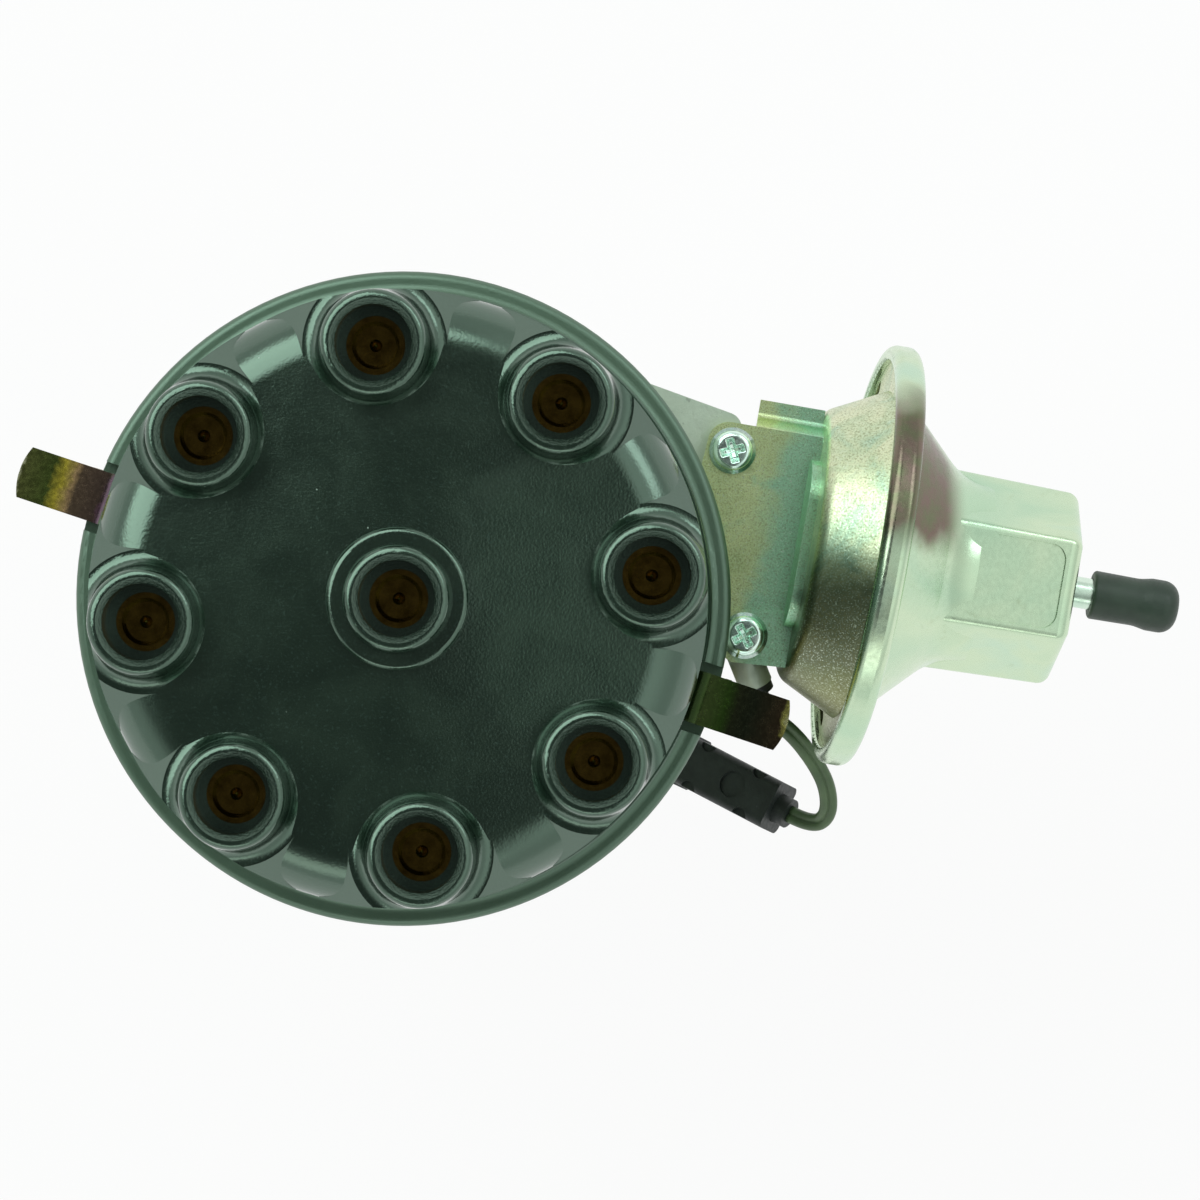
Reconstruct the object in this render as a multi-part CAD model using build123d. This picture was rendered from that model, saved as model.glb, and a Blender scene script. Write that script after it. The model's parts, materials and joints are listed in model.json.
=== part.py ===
from build123d import *

import math
import os

# Eight-cylinder ignition distributor with a clipped cap, a vacuum advance unit and a magnetic pickup.
# Millimetres. Z runs along the shaft towards the cap, and z = 0 is the underside of the hold-down flange.
# Every height is above that flange unless its name says otherwise.

# Fits
TURN_FIT = 0.05  # radial gap of a shaft or pin that turns in a hole
SEAT_FIT = 0.02  # radial gap of a piece that is seated in another
FREE_GAP = 0.3  # gap between pieces that move past each other

# Housing, from the hold-down flange up
SHANK_R = 15.8
SHANK_LENGTH = 38.0
SHANK_CORNER = 1.2
SEAL_INSET = 9.5  # from the shank's end to the middle of the groove
SEAL_WIRE_R = 1.7
SEAL_PROUD = 0.2
GROOVE_DEPTH = 3.2
HOLD_STEP = 6.2  # how far the hold-down flange stands out from the shank
FLANGE_HOLD_Z = 8.0
NECK_STEP = 5.0  # how far the neck lies inside the hold-down flange
NECK_LENGTH = 12.5
CONE_RISE = 8.0
CONE_SPREAD = 13.0
FLOOR_SHEET = 4.5
BOWL_WALL = 4.0
BOWL_DRAFT = 0.8
RIB_COUNT = 6
RIB_WIDTH = 3.2
LEDGE_ANGLES = (60.0, 180.0, 300.0)
LEDGE_R = 4.4
BOWL_MARGIN = 3.6  # free room between the pickup plate and the heads of the plate screws

# Shaft and governor, from the bowl's floor up
SHAFT_R = 5.5
TONGUE_LENGTH = 8.0
TONGUE_THICKNESS = 4.0
TONGUE_WIDTH = 9.6
TONGUE_NECK = 3.0
DRIVE_COLLAR_WALL = 4.5
DRIVE_COLLAR_LENGTH = 9.5
COLLAR_PIN_R = 2.0
BUSHING_WALL = 3.0
BUSHING_LENGTH = 18.0
WASHER = 0.9
WASHER_WIDTH = 5.5
END_FLOAT = 0.2
GOVERNOR_SHEET = 2.4
GOVERNOR_ARM = 9.0  # half width of the plate at its ends
GOVERNOR_SIDE = 19.0  # half width of the plate in the middle
GOVERNOR_MARGIN = 7.0  # plate beyond the pivot pins
GOVERNOR_CORNER = 5.0
GOVERNOR_HUB_WALL = 4.5
GOVERNOR_HUB_RISE = 2.0
WEIGHT_PIVOT_R = 20.0
WEIGHT_PIN_R = 2.0
WEIGHT_EYE_WALL = 3.2
WEIGHT_THICKNESS = 6.0
WEIGHT_REACH = 9.0  # weight's edge beyond the pivots
WEIGHT_HUB_GAP = 0.7
DRIVE_PIN_X = 12.0
DRIVE_PIN_R = 1.8
YOKE_SHEET = 2.0
YOKE_WIDTH = 12.0
YOKE_HUB_WALL = 4.0
YOKE_LENGTH = 50.0
YOKE_CORNER = 3.0
POST_INSET = 3.0
POST_R = 1.3
POST_HEIGHT = 3.0
POST_ROOM = 1.5  # free height over the posts
SPRING_WIRE_R = 0.4
SPRING_COIL_R = 1.1
SLEEVE_WALL = 2.5
KEY_WIDTH = 2.0
KEY_DEPTH = 0.7

# Plates, reluctor and pickup
PLATE_SHEET = 1.2
PLATE_GAP = 0.7  # between the lower plate's edge and the bowl
PLATE_SCREW_R = 1.5
PLATE_SCREW_HEAD_R = 2.8
WINDOW_WIDTH = 6.0
WINDOW_LENGTH = 9.0
WINDOW_TURN = 20.0
HUB_R = 14.2
HUB_WALL = 1.2
RETAINER_WIDTH = 2.0
RETAINER_SHEET = 0.7
SLIDE_PAD_R = 2.2
SLIDE_PAD_HEIGHT = 0.95
RELUCTOR_RISE = 10.0
TOOTH_COUNT = 8
RELUCTOR_TIP_R = 17.0
TOOTH_LENGTH = 4.0
RELUCTOR_HEIGHT = 8.0
TOOTH_WIDTH = 3.0
PICKUP_ANGLE = 215.0
PICKUP_WINDOW_LENGTH = 12.0
PICKUP_WINDOW_WIDTH = 7.0
PICKUP_WINDOW_ANGLES = (0.0, 140.0, 290.0)
AIR_GAP = 0.4
COIL_R = 6.2
COIL_LENGTH = 7.5
CHEEK = 1.0
CORE_WIDTH = 3.2
CORE_HEIGHT = 6.4
CORE_OVERHANG = 2.2
MAGNET = (4.0, 12.0, 9.0)
PICKUP_SHEET = 1.5
PICKUP_SCREW_R = 1.3
PICKUP_SCREW_HEAD_R = 2.4
PICKUP_MARGIN = 1.4

# Cap, from its seat on the bowl up
PICKUP_ROOM = 22.0  # from the lower plate to the cap's seat
FLANGE_DEPTH = 7.0
FLANGE_OVERHANG = 1.5
FLANGE_STEP = 3.4
WALL_DRAFT = 0.6
SHOULDER_RISE = 34.0
SHOULDER_ROUND = 8.5
CROWN = 2.5  # how far the middle of the roof lies above the shoulder
CAP_WALL = 4.6
CAP_ROOF = 8.5
SPIGOT_DEPTH = 3.0
TOWER_COUNT = 8
TOWER_INSET = 8.7
TOWER_START_ANGLE = 5.2
TOWER_HEIGHT = 11.0
SOCKET_R = 5.7
TOWER_WALL = 2.15
TOWER_DRAFT = 0.65
TOWER_FOOT = 2.3
FOOT_SPREAD = 6.0  # how far a tower's foot runs out down the shoulder
LIP_ROUND = 1.1
COLLAR_WIDTH = 2.1
COLLAR_RISE = 2.2
SOCKET_DEPTH = 16.0
MOUTH_CHAMFER = 0.9
INSERT_HEAD_R = 4.4
INSERT_RIM = 0.8
INSERT_CUP = 1.8
INSERT_HEAD = 3.0
INSERT_STEM_R = 2.3
BOSS_WALL = 4.9
BOSS_DROP = 9.0
TERMINAL_WIDTH = 5.0
TERMINAL_LENGTH = 6.4
TERMINAL_DROP = 8.0
BRUSH_R = 2.5
BRUSH_LENGTH = 8.0
BRUSH_SPRING_R = 1.7
BRUSH_WIRE_R = 0.35
BRUSH_ROOM = 3.8  # from the brush to the insert above it
LUG_ANGLE = 71.0
LUG_WIDTH = 5.0

# Rotor, which hangs from the brush's tip
BRUSH_REST = 0.1
LEAF_SHEET = 1.0
LEAF_WIDTH = 4.8
BLADE_SHEET = 1.2
BLADE_WIDTH = 7.0
ROTOR_HEAD = 6.9
ROTOR_CLEAR = 6.0  # between the reluctor and the rotor
ROTOR_WALL = 3.5
SPARK_GAP = 1.1

# Cap clips
CLIP_ANGLES = (161.5, -18.5)
CLIP_WIDTH = 8.0
CLIP_SHEET = 1.0
CLIP_DROP = 18.0
PAD_PROUD = 1.0
PIVOT_STANDOFF = 3.5
CLIP_PIN_R = 1.0
TAB_REACH = 11.6
CLIP_END_ROUND = 10.0
POCKET_WIDTH = 11.0
POCKET_DEPTH = 3.0
POCKET_BITE = 1.4
POCKET_HEIGHT = 14.0
EYE_WIDTH = 4.4
EAR_SHEET = 0.9
EAR_R = 2.6
BRACKET_BASE = 0.9
RIVET_R = 1.3
RIVET_DROPS = (6.4, 10.8)  # below the pivot

# Vacuum advance. The unit's axis passes beside the shaft by ARM_R, which is the pull arm on the plate.
UNIT_ANGLE = -9.8
UNIT_TILT = 5.6
PULL_PIN_R = 1.8
PIN_GAP = 0.8  # between the retainer and the pull pin
UNIT_RISE = 1.1
BOSS_REACH = 5.3
UNIT_GAP = 5.0
RIM_R = 33.0
RIM_WIDTH = 7.2
SHEET = 1.2
DRUM_TAPER = 4.8
DRUM_LENGTH = 11.0
CONE_SEAT = 1.2
RIM_TOP = 1.9
CONE_FLARE = 9.0
NOSE_CORNER_R = 16.0
NOSE_LENGTH = 31.0
NOSE_TAPER = 1.6
NOSE_ROUND = 1.8
PANEL_BORDER = 1.4
PANEL_LENGTH = 13.4
PANEL_DEPTH = 0.5
NIPPLE_R = 2.45
NIPPLE_LENGTH = 16.0
NIPPLE_BORE_R = 1.3
RUBBER_OFF = 4.2  # between the nose and the rubber cap
RUBBER_WALL = 1.35
RUBBER_END_WALL = 1.6
CUP_R = 14.0
ROD_R = 2.0
ROD_LENGTH = 7.0  # rod behind the drum
STROKE_DEGREES = 11.0
STRIP = (8.0, 1.5)
PLATE_RISE = 5.5
BRACKET_SHEET = 2.0
PAD_STEP = 1.0
TAB_DROP = 4.0
UPPER_TAB = (-4.9, 8.2, 35.4, 39.8)  # two along from the boss's face, and two across
LOWER_TAB = (5.8, 12.2, -0.4, -4.8)
BOSS_DEPTH = 20.0
SCREW_SPOTS = ((-3.3, 22.9), (-1.5, -5.7))  # along from the boss's face, and across
SCREW_R = 2.0
SCREW_HEAD_R = 3.1
SCREW_BITE = 8.0
SCREW_WASHER = 0.5

# Lead and connector
LEAD_D = 2.8
STUB_SPOT = (0.5, -13.2)  # of the stub's tip, from the boss's face, and across
STUB_LOW = 4.0  # below the lower plate
STUB_ANGLE = -68.0
STUB_DROP = 20.0
STUB_R = 2.7
STUB_BORE_R = 1.9
GROMMET_LIP = 1.4
LEAD_OUT = 4.5  # straight stretch from the grommet
LEAD_IN = 4.4  # straight stretch into the connector
# Counted from the stub's tip
LEAD_POINTS = ((5.9, -7.8, -4.2), (9.6, -12.5, -7.0), (11.7, -16.7, -9.8), (11.9, -21.1, -13.0))
CONNECTOR_SPOT = (4.7, -20.4, -18.8)
CONNECTOR_ANGLE = 152.8
CONNECTOR_TILT = 25.0
CONNECTOR = (22.0, 8.0, 7.4)
CONNECTOR_CORNER = 1.2
CONNECTOR_NECK = 1.4
TERMINAL_R = 0.8

# Radii that follow from the above
FLANGE_HOLD_R = SHANK_R + HOLD_STEP
NECK_R = FLANGE_HOLD_R - NECK_STEP
BUSHING_R = SHAFT_R + BUSHING_WALL
DRIVE_COLLAR_R = SHAFT_R + DRIVE_COLLAR_WALL
WASHER_R = SHAFT_R + WASHER_WIDTH
GOVERNOR_R = WEIGHT_PIVOT_R + GOVERNOR_MARGIN
GOVERNOR_HUB_R = SHAFT_R + GOVERNOR_HUB_WALL
WEIGHT_OUTER_R = WEIGHT_PIVOT_R + WEIGHT_REACH
WEIGHT_INNER_R = GOVERNOR_HUB_R + WEIGHT_HUB_GAP
POST_RING_R = YOKE_LENGTH / 2 - POST_INSET
SLEEVE_R = SHAFT_R + SLEEVE_WALL
RELUCTOR_ROOT_R = RELUCTOR_TIP_R - TOOTH_LENGTH
MAGNET_START = RELUCTOR_TIP_R + AIR_GAP + COIL_LENGTH + CORE_OVERHANG
PICKUP_PLATE_R = MAGNET_START + MAGNET[0] + PICKUP_SHEET + PICKUP_MARGIN
LEDGE_RING_R = PICKUP_PLATE_R + BOWL_MARGIN + PLATE_SCREW_HEAD_R
BOWL_BORE_R = LEDGE_RING_R + LEDGE_R - FREE_GAP
BOWL_R = BOWL_BORE_R + BOWL_WALL
LOWER_PLATE_R = BOWL_BORE_R - PLATE_GAP
FLANGE_R = BOWL_R + FLANGE_OVERHANG
WALL_R = FLANGE_R - FLANGE_STEP
SHOULDER_R = WALL_R - WALL_DRAFT
TOWER_RING_R = WALL_R - TOWER_INSET
TOWER_TOP_R = SOCKET_R + TOWER_WALL
TOWER_BASE_R = TOWER_TOP_R + TOWER_DRAFT
COLLAR_R = TOWER_BASE_R + COLLAR_WIDTH
BOSS_R = INSERT_STEM_R + BOSS_WALL
ROTOR_HUB_R = SLEEVE_R + ROTOR_WALL
ROTOR_TIP_R = TOWER_RING_R - TERMINAL_LENGTH / 2 - SPARK_GAP
POCKET_WALL_R = WALL_R - POCKET_BITE
PAD_R = BOWL_R + PAD_PROUD
CLIP_PIVOT_R = PAD_R + PIVOT_STANDOFF
CLIP_TIP_R = FLANGE_R + TAB_REACH
ARM_R = HUB_R + RETAINER_WIDTH + PIN_GAP + PULL_PIN_R
BOSS_X = BOWL_R + BOSS_REACH
UNIT_REACH = BOSS_X + UNIT_GAP + DRUM_LENGTH
DRUM_FRONT_R = RIM_R - RIM_WIDTH
DRUM_BACK_R = DRUM_FRONT_R - DRUM_TAPER
CONE_R = DRUM_FRONT_R - CONE_SEAT
NOSE_FLAT_R = NOSE_CORNER_R * math.cos(math.pi / 6)
CLIP_EAR_IN = EYE_WIDTH / 2 + 0.4
CLIP_EAR_OUT = CLIP_EAR_IN + EAR_SHEET
CONE_END_R = NOSE_FLAT_R + 0.75
RUBBER_R = NIPPLE_R + RUBBER_WALL
NIPPLE_END = NOSE_LENGTH + NIPPLE_LENGTH
RUBBER_START = NOSE_LENGTH + RUBBER_OFF
RUBBER_END = NIPPLE_END + RUBBER_END_WALL + 0.4
ROD_END = -DRUM_LENGTH - ROD_LENGTH

# Heights that follow from the above
SHANK_END_Z = -SHANK_LENGTH
SEAL_Z = SHANK_END_Z + SEAL_INSET
COLLAR_TOP_Z = SHANK_END_Z - WASHER - END_FLOAT
COLLAR_END_Z = COLLAR_TOP_Z - DRIVE_COLLAR_LENGTH
TONGUE_TOP_Z = COLLAR_END_Z - TONGUE_NECK
CONE_Z = FLANGE_HOLD_Z + NECK_LENGTH
BOWL_UNDER_Z = CONE_Z + CONE_RISE
BOWL_FLOOR_Z = BOWL_UNDER_Z + FLOOR_SHEET
GOVERNOR_PLATE_Z = BOWL_FLOOR_Z + 0.5 + 0.8 + END_FLOAT
WEIGHT_Z = GOVERNOR_PLATE_Z + GOVERNOR_SHEET + FREE_GAP
YOKE_Z = WEIGHT_Z + WEIGHT_THICKNESS + FREE_GAP
LOWER_PLATE_Z = YOKE_Z + YOKE_SHEET + POST_HEIGHT + POST_ROOM
PICKUP_PLATE_Z = LOWER_PLATE_Z + PLATE_SHEET + SLIDE_PAD_HEIGHT + 0.05
PICKUP_TOP_Z = PICKUP_PLATE_Z + PLATE_SHEET
RELUCTOR_Z = LOWER_PLATE_Z + RELUCTOR_RISE
RELUCTOR_TOP_Z = RELUCTOR_Z + RELUCTOR_HEIGHT
CAP_SEAT_Z = LOWER_PLATE_Z + PICKUP_ROOM
FLANGE_Z = CAP_SEAT_Z + FLANGE_DEPTH
SHOULDER_Z = FLANGE_Z + SHOULDER_RISE
DOME_Z = SHOULDER_Z + CROWN
TOWER_TOP_Z = SHOULDER_Z + TOWER_HEIGHT
SOCKET_FLOOR_Z = TOWER_TOP_Z - SOCKET_DEPTH
BOSS_Z = SOCKET_FLOOR_Z - BOSS_DROP
BRUSH_TIP_Z = SOCKET_FLOOR_Z - INSERT_HEAD - BRUSH_ROOM - BRUSH_LENGTH
BLADE_Z = BRUSH_TIP_Z - BRUSH_REST - LEAF_SHEET - BLADE_SHEET
SLEEVE_TOP_Z = BLADE_Z - ROTOR_HEAD
SHAFT_TOP_Z = SLEEVE_TOP_Z
ROTOR_LOW_Z = RELUCTOR_TOP_Z + ROTOR_CLEAR
CLIP_PIVOT_Z = CAP_SEAT_Z - CLIP_DROP
UNIT_Z = PICKUP_TOP_Z + UNIT_RISE
PLATE_Z = UNIT_Z + PLATE_RISE
STRIP_Z = UNIT_Z - ROD_END * math.sin(math.radians(UNIT_TILT))
CONE_TIP_Z = RIM_TOP + CONE_R - CONE_END_R  # along the unit's axis, as the nose and rod ends are
STUB_TIP = (BOSS_X + STUB_SPOT[0], STUB_SPOT[1], LOWER_PLATE_Z - STUB_LOW)
SCREW_POINTS = tuple((BOSS_X + out, across) for out, across in SCREW_SPOTS)
TIP_SLOPE = WALL_DRAFT / SHOULDER_RISE


def outline(corners):
    """Closed face in XY from (x, y) or (x, y, rounding) corners."""
    points = [(corner[0], corner[1]) for corner in corners]
    rounds = [corner[2] if len(corner) > 2 else 0 for corner in corners]
    return make_face(FilletPolyline(*points, radius=rounds, close=True))


def turned(corners):
    """Solid of revolution about Z from (radius, height, rounding) corners."""
    return revolve(Plane.XZ * outline(corners), Axis.Z)


def plate(corners, low, high):
    return extrude(Pos(0, 0, low) * outline(corners), high - low)


def disc(radius, low, high, x=0.0, y=0.0):
    flat = Pos(x, y, low) * Circle(radius)
    return extrude(flat, high - low)


def tube(outer, inner, low, high, x=0.0, y=0.0):
    flat = Pos(x, y, low) * (Circle(outer) - Circle(inner))
    return extrude(flat, high - low)


def block(x_low, x_high, y_low, y_high, z_low, z_high):
    size = (x_high - x_low, y_high - y_low, z_high - z_low)
    corner = (Align.MIN, Align.MIN, Align.MIN)
    return Pos(x_low, y_low, z_low) * Box(*size, align=corner)


def spun(shape, degrees):
    return Rot(0, 0, degrees) * shape


def polar(radius, degrees):
    angle = math.radians(degrees)
    return radius * math.cos(angle), radius * math.sin(angle)


def group(shapes):
    """One node of several separate solids."""
    return Compound([solid for shape in shapes for solid in shape.solids()])


def pan_screw(head_r, head_height, shank_r, length):
    """Cross-recess pan head screw, head up from z = 0."""
    head = turned(
        [(0, 0), (head_r, 0), (head_r, head_height, 0.45 * head_height), (0, head_height)]
    )
    recess_half = 0.62 * head_r
    slot = 0.13 * head_r
    deep = 0.45 * head_height
    across = block(-recess_half, recess_half, -slot, slot, deep, head_height + 1)
    return head + disc(shank_r, -length, 0) - across - spun(across, 90)


def coil(radius, wire_r, pitch, turns):
    """Coil spring along Z from z = 0."""
    path = Helix(pitch, pitch * turns, radius)
    section = Plane(origin=path @ 0, z_dir=path % 0) * Circle(wire_r)
    return sweep(section, path)


def tower_locations(count=TOWER_COUNT):
    step = 360.0 / count
    return [Rot(0, 0, TOWER_START_ANGLE + step * k) * Pos(TOWER_RING_R, 0, 0) for k in range(count)]


# Cap group


def tower_form():
    foot_z = SHOULDER_Z + 0.4
    root_z = foot_z - 1.2 * FOOT_SPREAD
    foot_r = TOWER_BASE_R + TOWER_FOOT
    return turned(
        [
            (0, root_z),
            (foot_r + FOOT_SPREAD, root_z),
            (foot_r, foot_z),
            (TOWER_BASE_R, foot_z, 0.94 * TOWER_FOOT),
            (TOWER_TOP_R, TOWER_TOP_Z, LIP_ROUND),
            (0, TOWER_TOP_Z),
        ]
    )


def socket_cut(insert_length):
    """Lead socket with a chamfered mouth, and the seat of its insert below."""
    mouth = turned(
        [
            (0, SOCKET_FLOOR_Z),
            (SOCKET_R, SOCKET_FLOOR_Z),
            (SOCKET_R, TOWER_TOP_Z - MOUTH_CHAMFER),
            (SOCKET_R + 1.5 * MOUTH_CHAMFER, TOWER_TOP_Z + 0.5 * MOUTH_CHAMFER),
            (0, TOWER_TOP_Z + 0.5 * MOUTH_CHAMFER),
        ]
    )
    head = disc(INSERT_HEAD_R + SEAT_FIT, SOCKET_FLOOR_Z - INSERT_HEAD, SOCKET_FLOOR_Z + 0.1)
    stem = disc(INSERT_STEM_R + SEAT_FIT, SOCKET_FLOOR_Z - insert_length, SOCKET_FLOOR_Z)
    return mouth + head + stem


def clip_pocket():
    floor_z = FLANGE_Z - POCKET_DEPTH
    half = POCKET_WIDTH / 2
    return block(POCKET_WALL_R, FLANGE_R + 5, -half, half, floor_z, FLANGE_Z + POCKET_HEIGHT)


def distributor_cap():
    shell = turned(
        [
            (0, CAP_SEAT_Z),
            (FLANGE_R, CAP_SEAT_Z, 0.6),
            (FLANGE_R, FLANGE_Z, 1.2),
            (WALL_R, FLANGE_Z, 1.5),
            (SHOULDER_R, SHOULDER_Z, SHOULDER_ROUND),
            (0, DOME_Z),
        ]
    )
    shell += disc(BOWL_BORE_R - FREE_GAP, CAP_SEAT_Z - SPIGOT_DEPTH, CAP_SEAT_Z)
    tall = TOWER_TOP_Z - FLANGE_Z + 1
    envelope = turned(
        [
            (0, FLANGE_Z),
            (WALL_R, FLANGE_Z),
            (WALL_R - TIP_SLOPE * tall, FLANGE_Z + tall),
            (0, FLANGE_Z + tall),
        ]
    )
    towers = [place * tower_form() & envelope for place in tower_locations()]
    collar = turned(
        [
            (0, SHOULDER_Z),
            (COLLAR_R, SHOULDER_Z),
            (COLLAR_R, DOME_Z + COLLAR_RISE, 0.8),
            (0, DOME_Z + COLLAR_RISE),
        ]
    )
    shell = shell + towers + tower_form() + collar
    cavity_r = WALL_R - CAP_WALL
    roof_z = DOME_Z - CAP_ROOF
    cavity = turned(
        [
            (0, CAP_SEAT_Z - SPIGOT_DEPTH - 1),
            (cavity_r, CAP_SEAT_Z - SPIGOT_DEPTH - 1),
            (cavity_r, roof_z - 2, 3.0),
            (0, roof_z),
        ]
    )
    bosses = [place * disc(BOSS_R, BOSS_Z, roof_z + 2) for place in tower_locations()]
    brush_boss = disc(BOSS_R, BOSS_Z - 1.0, roof_z + 2)
    keep_in = disc(WALL_R - 1.5, BOSS_Z - 1.0, roof_z + 2)
    cavity = cavity - [boss & keep_in for boss in bosses] - brush_boss
    side_socket = socket_cut(SOCKET_FLOOR_Z - BOSS_Z + 1)
    brush_bore = disc(BRUSH_R + TURN_FIT, BOSS_Z - 2, SOCKET_FLOOR_Z - INSERT_HEAD + 0.1)
    cuts = [cavity, socket_cut(INSERT_HEAD), brush_bore]
    cuts += [place * side_socket for place in tower_locations()]
    cuts += [spun(clip_pocket(), angle) for angle in CLIP_ANGLES]
    cap = shell - cuts
    half = LUG_WIDTH / 2
    lug = block(cavity_r, BOWL_R - 0.5, -half, half, CAP_SEAT_Z - SPIGOT_DEPTH + 0.5, CAP_SEAT_Z)
    return cap + spun(lug, LUG_ANGLE)


def insert(stem_length):
    """Terminal cup on the socket's floor, with a stem through the cap's roof."""
    cup_z = SOCKET_FLOOR_Z - INSERT_CUP
    cup_r = INSERT_HEAD_R - INSERT_RIM
    head = disc(INSERT_HEAD_R, SOCKET_FLOOR_Z - INSERT_HEAD, SOCKET_FLOOR_Z)
    cup = [(0, cup_z), (cup_r - 0.6, cup_z), (cup_r, SOCKET_FLOOR_Z + 0.1), (0, SOCKET_FLOOR_Z + 0.1)]
    dimple = [(0, cup_z - 0.6), (1.1, cup_z + 0.1), (0, cup_z + 0.1)]
    whole = head - turned(cup) - turned(dimple)
    if stem_length > INSERT_HEAD:
        whole += disc(INSERT_STEM_R, SOCKET_FLOOR_Z - stem_length, SOCKET_FLOOR_Z - INSERT_HEAD)
    return whole


def tower_inserts():
    half = TERMINAL_WIDTH / 2
    terminal = block(
        -TERMINAL_LENGTH / 2, TERMINAL_LENGTH / 2, -half, half, BOSS_Z - TERMINAL_DROP, BOSS_Z
    )
    one = insert(SOCKET_FLOOR_Z - BOSS_Z) + terminal
    return group([place * one for place in tower_locations()])


def carbon_brush():
    top_z = BRUSH_TIP_Z + BRUSH_LENGTH
    return turned([(0, BRUSH_TIP_Z), (BRUSH_R, BRUSH_TIP_Z, 1.2), (BRUSH_R, top_z), (0, top_z)])


def brush_spring():
    low_z = BRUSH_TIP_Z + BRUSH_LENGTH + 0.45
    room = SOCKET_FLOOR_Z - INSERT_HEAD - low_z - 0.45
    turns = 2.5
    return Pos(0, 0, low_z) * coil(BRUSH_SPRING_R, BRUSH_WIRE_R, room / turns, turns)


# Rotor and shaft group


def rotor_body():
    top_z = BLADE_Z
    web_z = SLEEVE_TOP_Z + 1.5
    hub = turned(
        [
            (0, ROTOR_LOW_Z),
            (ROTOR_HUB_R, ROTOR_LOW_Z),
            (ROTOR_HUB_R, web_z, 1.0),
            (ROTOR_HUB_R + 3, web_z, 0.5),
            (ROTOR_HUB_R + 3, top_z, 1.0),
            (0, top_z),
        ]
    )
    arm_end = ROTOR_TIP_R - 4
    tail_end = -ROTOR_HUB_R - 10.5
    root = ROTOR_HUB_R - 1.5
    half = BLADE_WIDTH / 2 + 1
    arm = plate([(0, -root), (arm_end, -half, 2), (arm_end, half, 2), (0, root)], web_z, top_z)
    tail = [(0, 1 - root), (0, root - 1), (tail_end, root - 4, 3), (tail_end, 4 - root, 3)]
    tail = plate(tail, web_z + 1.5, top_z)
    bore = disc(SLEEVE_R + SEAT_FIT, ROTOR_LOW_Z - 1, SLEEVE_TOP_Z + 0.5)
    half_key = KEY_WIDTH / 2
    key = block(SLEEVE_R - KEY_DEPTH, SLEEVE_R + 0.5, -half_key, half_key, ROTOR_LOW_Z, SLEEVE_TOP_Z)
    return hub + arm + tail - bore + key


def rotor_blade():
    half = BLADE_WIDTH / 2
    strip = block(-5, ROTOR_TIP_R, -half, half, BLADE_Z, BLADE_Z + BLADE_SHEET)
    round_tip = disc(ROTOR_TIP_R, BLADE_Z, BLADE_Z + BLADE_SHEET)
    top_z = BLADE_Z + BLADE_SHEET
    side = LEAF_WIDTH / 2
    leaf = [(-5, -side, 1), (BRUSH_R + 1, -side, 1), (BRUSH_R + 1, side, 1), (-5, side, 1)]
    leaf = plate(leaf, top_z, top_z + LEAF_SHEET)
    return (strip & round_tip) + leaf


def drive_shaft():
    body = turned(
        [
            (0, TONGUE_TOP_Z),
            (SHAFT_R, TONGUE_TOP_Z, 0.5),
            (SHAFT_R, SHAFT_TOP_Z, 0.6),
            (0, SHAFT_TOP_Z),
        ]
    )
    wide = TONGUE_WIDTH / 2
    thick = TONGUE_THICKNESS / 2
    tongue = block(-wide, wide, -thick, thick, TONGUE_TOP_Z - TONGUE_LENGTH, TONGUE_TOP_Z + 1)
    body += tongue & disc(SHAFT_R - 0.1, TONGUE_TOP_Z - TONGUE_LENGTH, TONGUE_TOP_Z + 1)
    return body - cross_pin(COLLAR_PIN_R + SEAT_FIT)


def cross_pin(radius):
    middle_z = (COLLAR_TOP_Z + COLLAR_END_Z) / 2
    pin = Rot(0, 90, 0) * disc(radius, -DRIVE_COLLAR_R, DRIVE_COLLAR_R)
    return Pos(0, 0, middle_z) * pin


def drive_collar():
    body = turned(
        [
            (SHAFT_R + SEAT_FIT, COLLAR_END_Z),
            (DRIVE_COLLAR_R, COLLAR_END_Z, 1.0),
            (DRIVE_COLLAR_R, COLLAR_TOP_Z, 0.6),
            (SHAFT_R + SEAT_FIT, COLLAR_TOP_Z),
        ]
    )
    return body - cross_pin(COLLAR_PIN_R + SEAT_FIT)


def collar_pin():
    return cross_pin(COLLAR_PIN_R) & disc(DRIVE_COLLAR_R - 0.2, COLLAR_END_Z, COLLAR_TOP_Z)


def bushing(low_z):
    return tube(BUSHING_R, SHAFT_R + TURN_FIT, low_z, low_z + BUSHING_LENGTH)


def thrust_washer(low_z, high_z):
    return tube(WASHER_R, SHAFT_R + FREE_GAP, low_z, high_z)


def governor_plate():
    top_z = GOVERNOR_PLATE_Z + GOVERNOR_SHEET
    side = GOVERNOR_SIDE
    arm = GOVERNOR_ARM
    corners = [(GOVERNOR_R, -arm), (GOVERNOR_R, arm), (arm, side), (-arm, side)]
    corners += [(-x, -y) for x, y in corners]
    body = plate([(x, y, GOVERNOR_CORNER) for x, y in corners], GOVERNOR_PLATE_Z, top_z)
    hub = disc(GOVERNOR_HUB_R, top_z, top_z + GOVERNOR_HUB_RISE)
    pin_top = YOKE_Z + YOKE_SHEET + POST_HEIGHT
    pins = [disc(WEIGHT_PIN_R, top_z, pin_top, x) for x in (-WEIGHT_PIVOT_R, WEIGHT_PIVOT_R)]
    return body + hub + pins - disc(SHAFT_R + SEAT_FIT, GOVERNOR_PLATE_Z - 1, top_z + 3)


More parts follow.
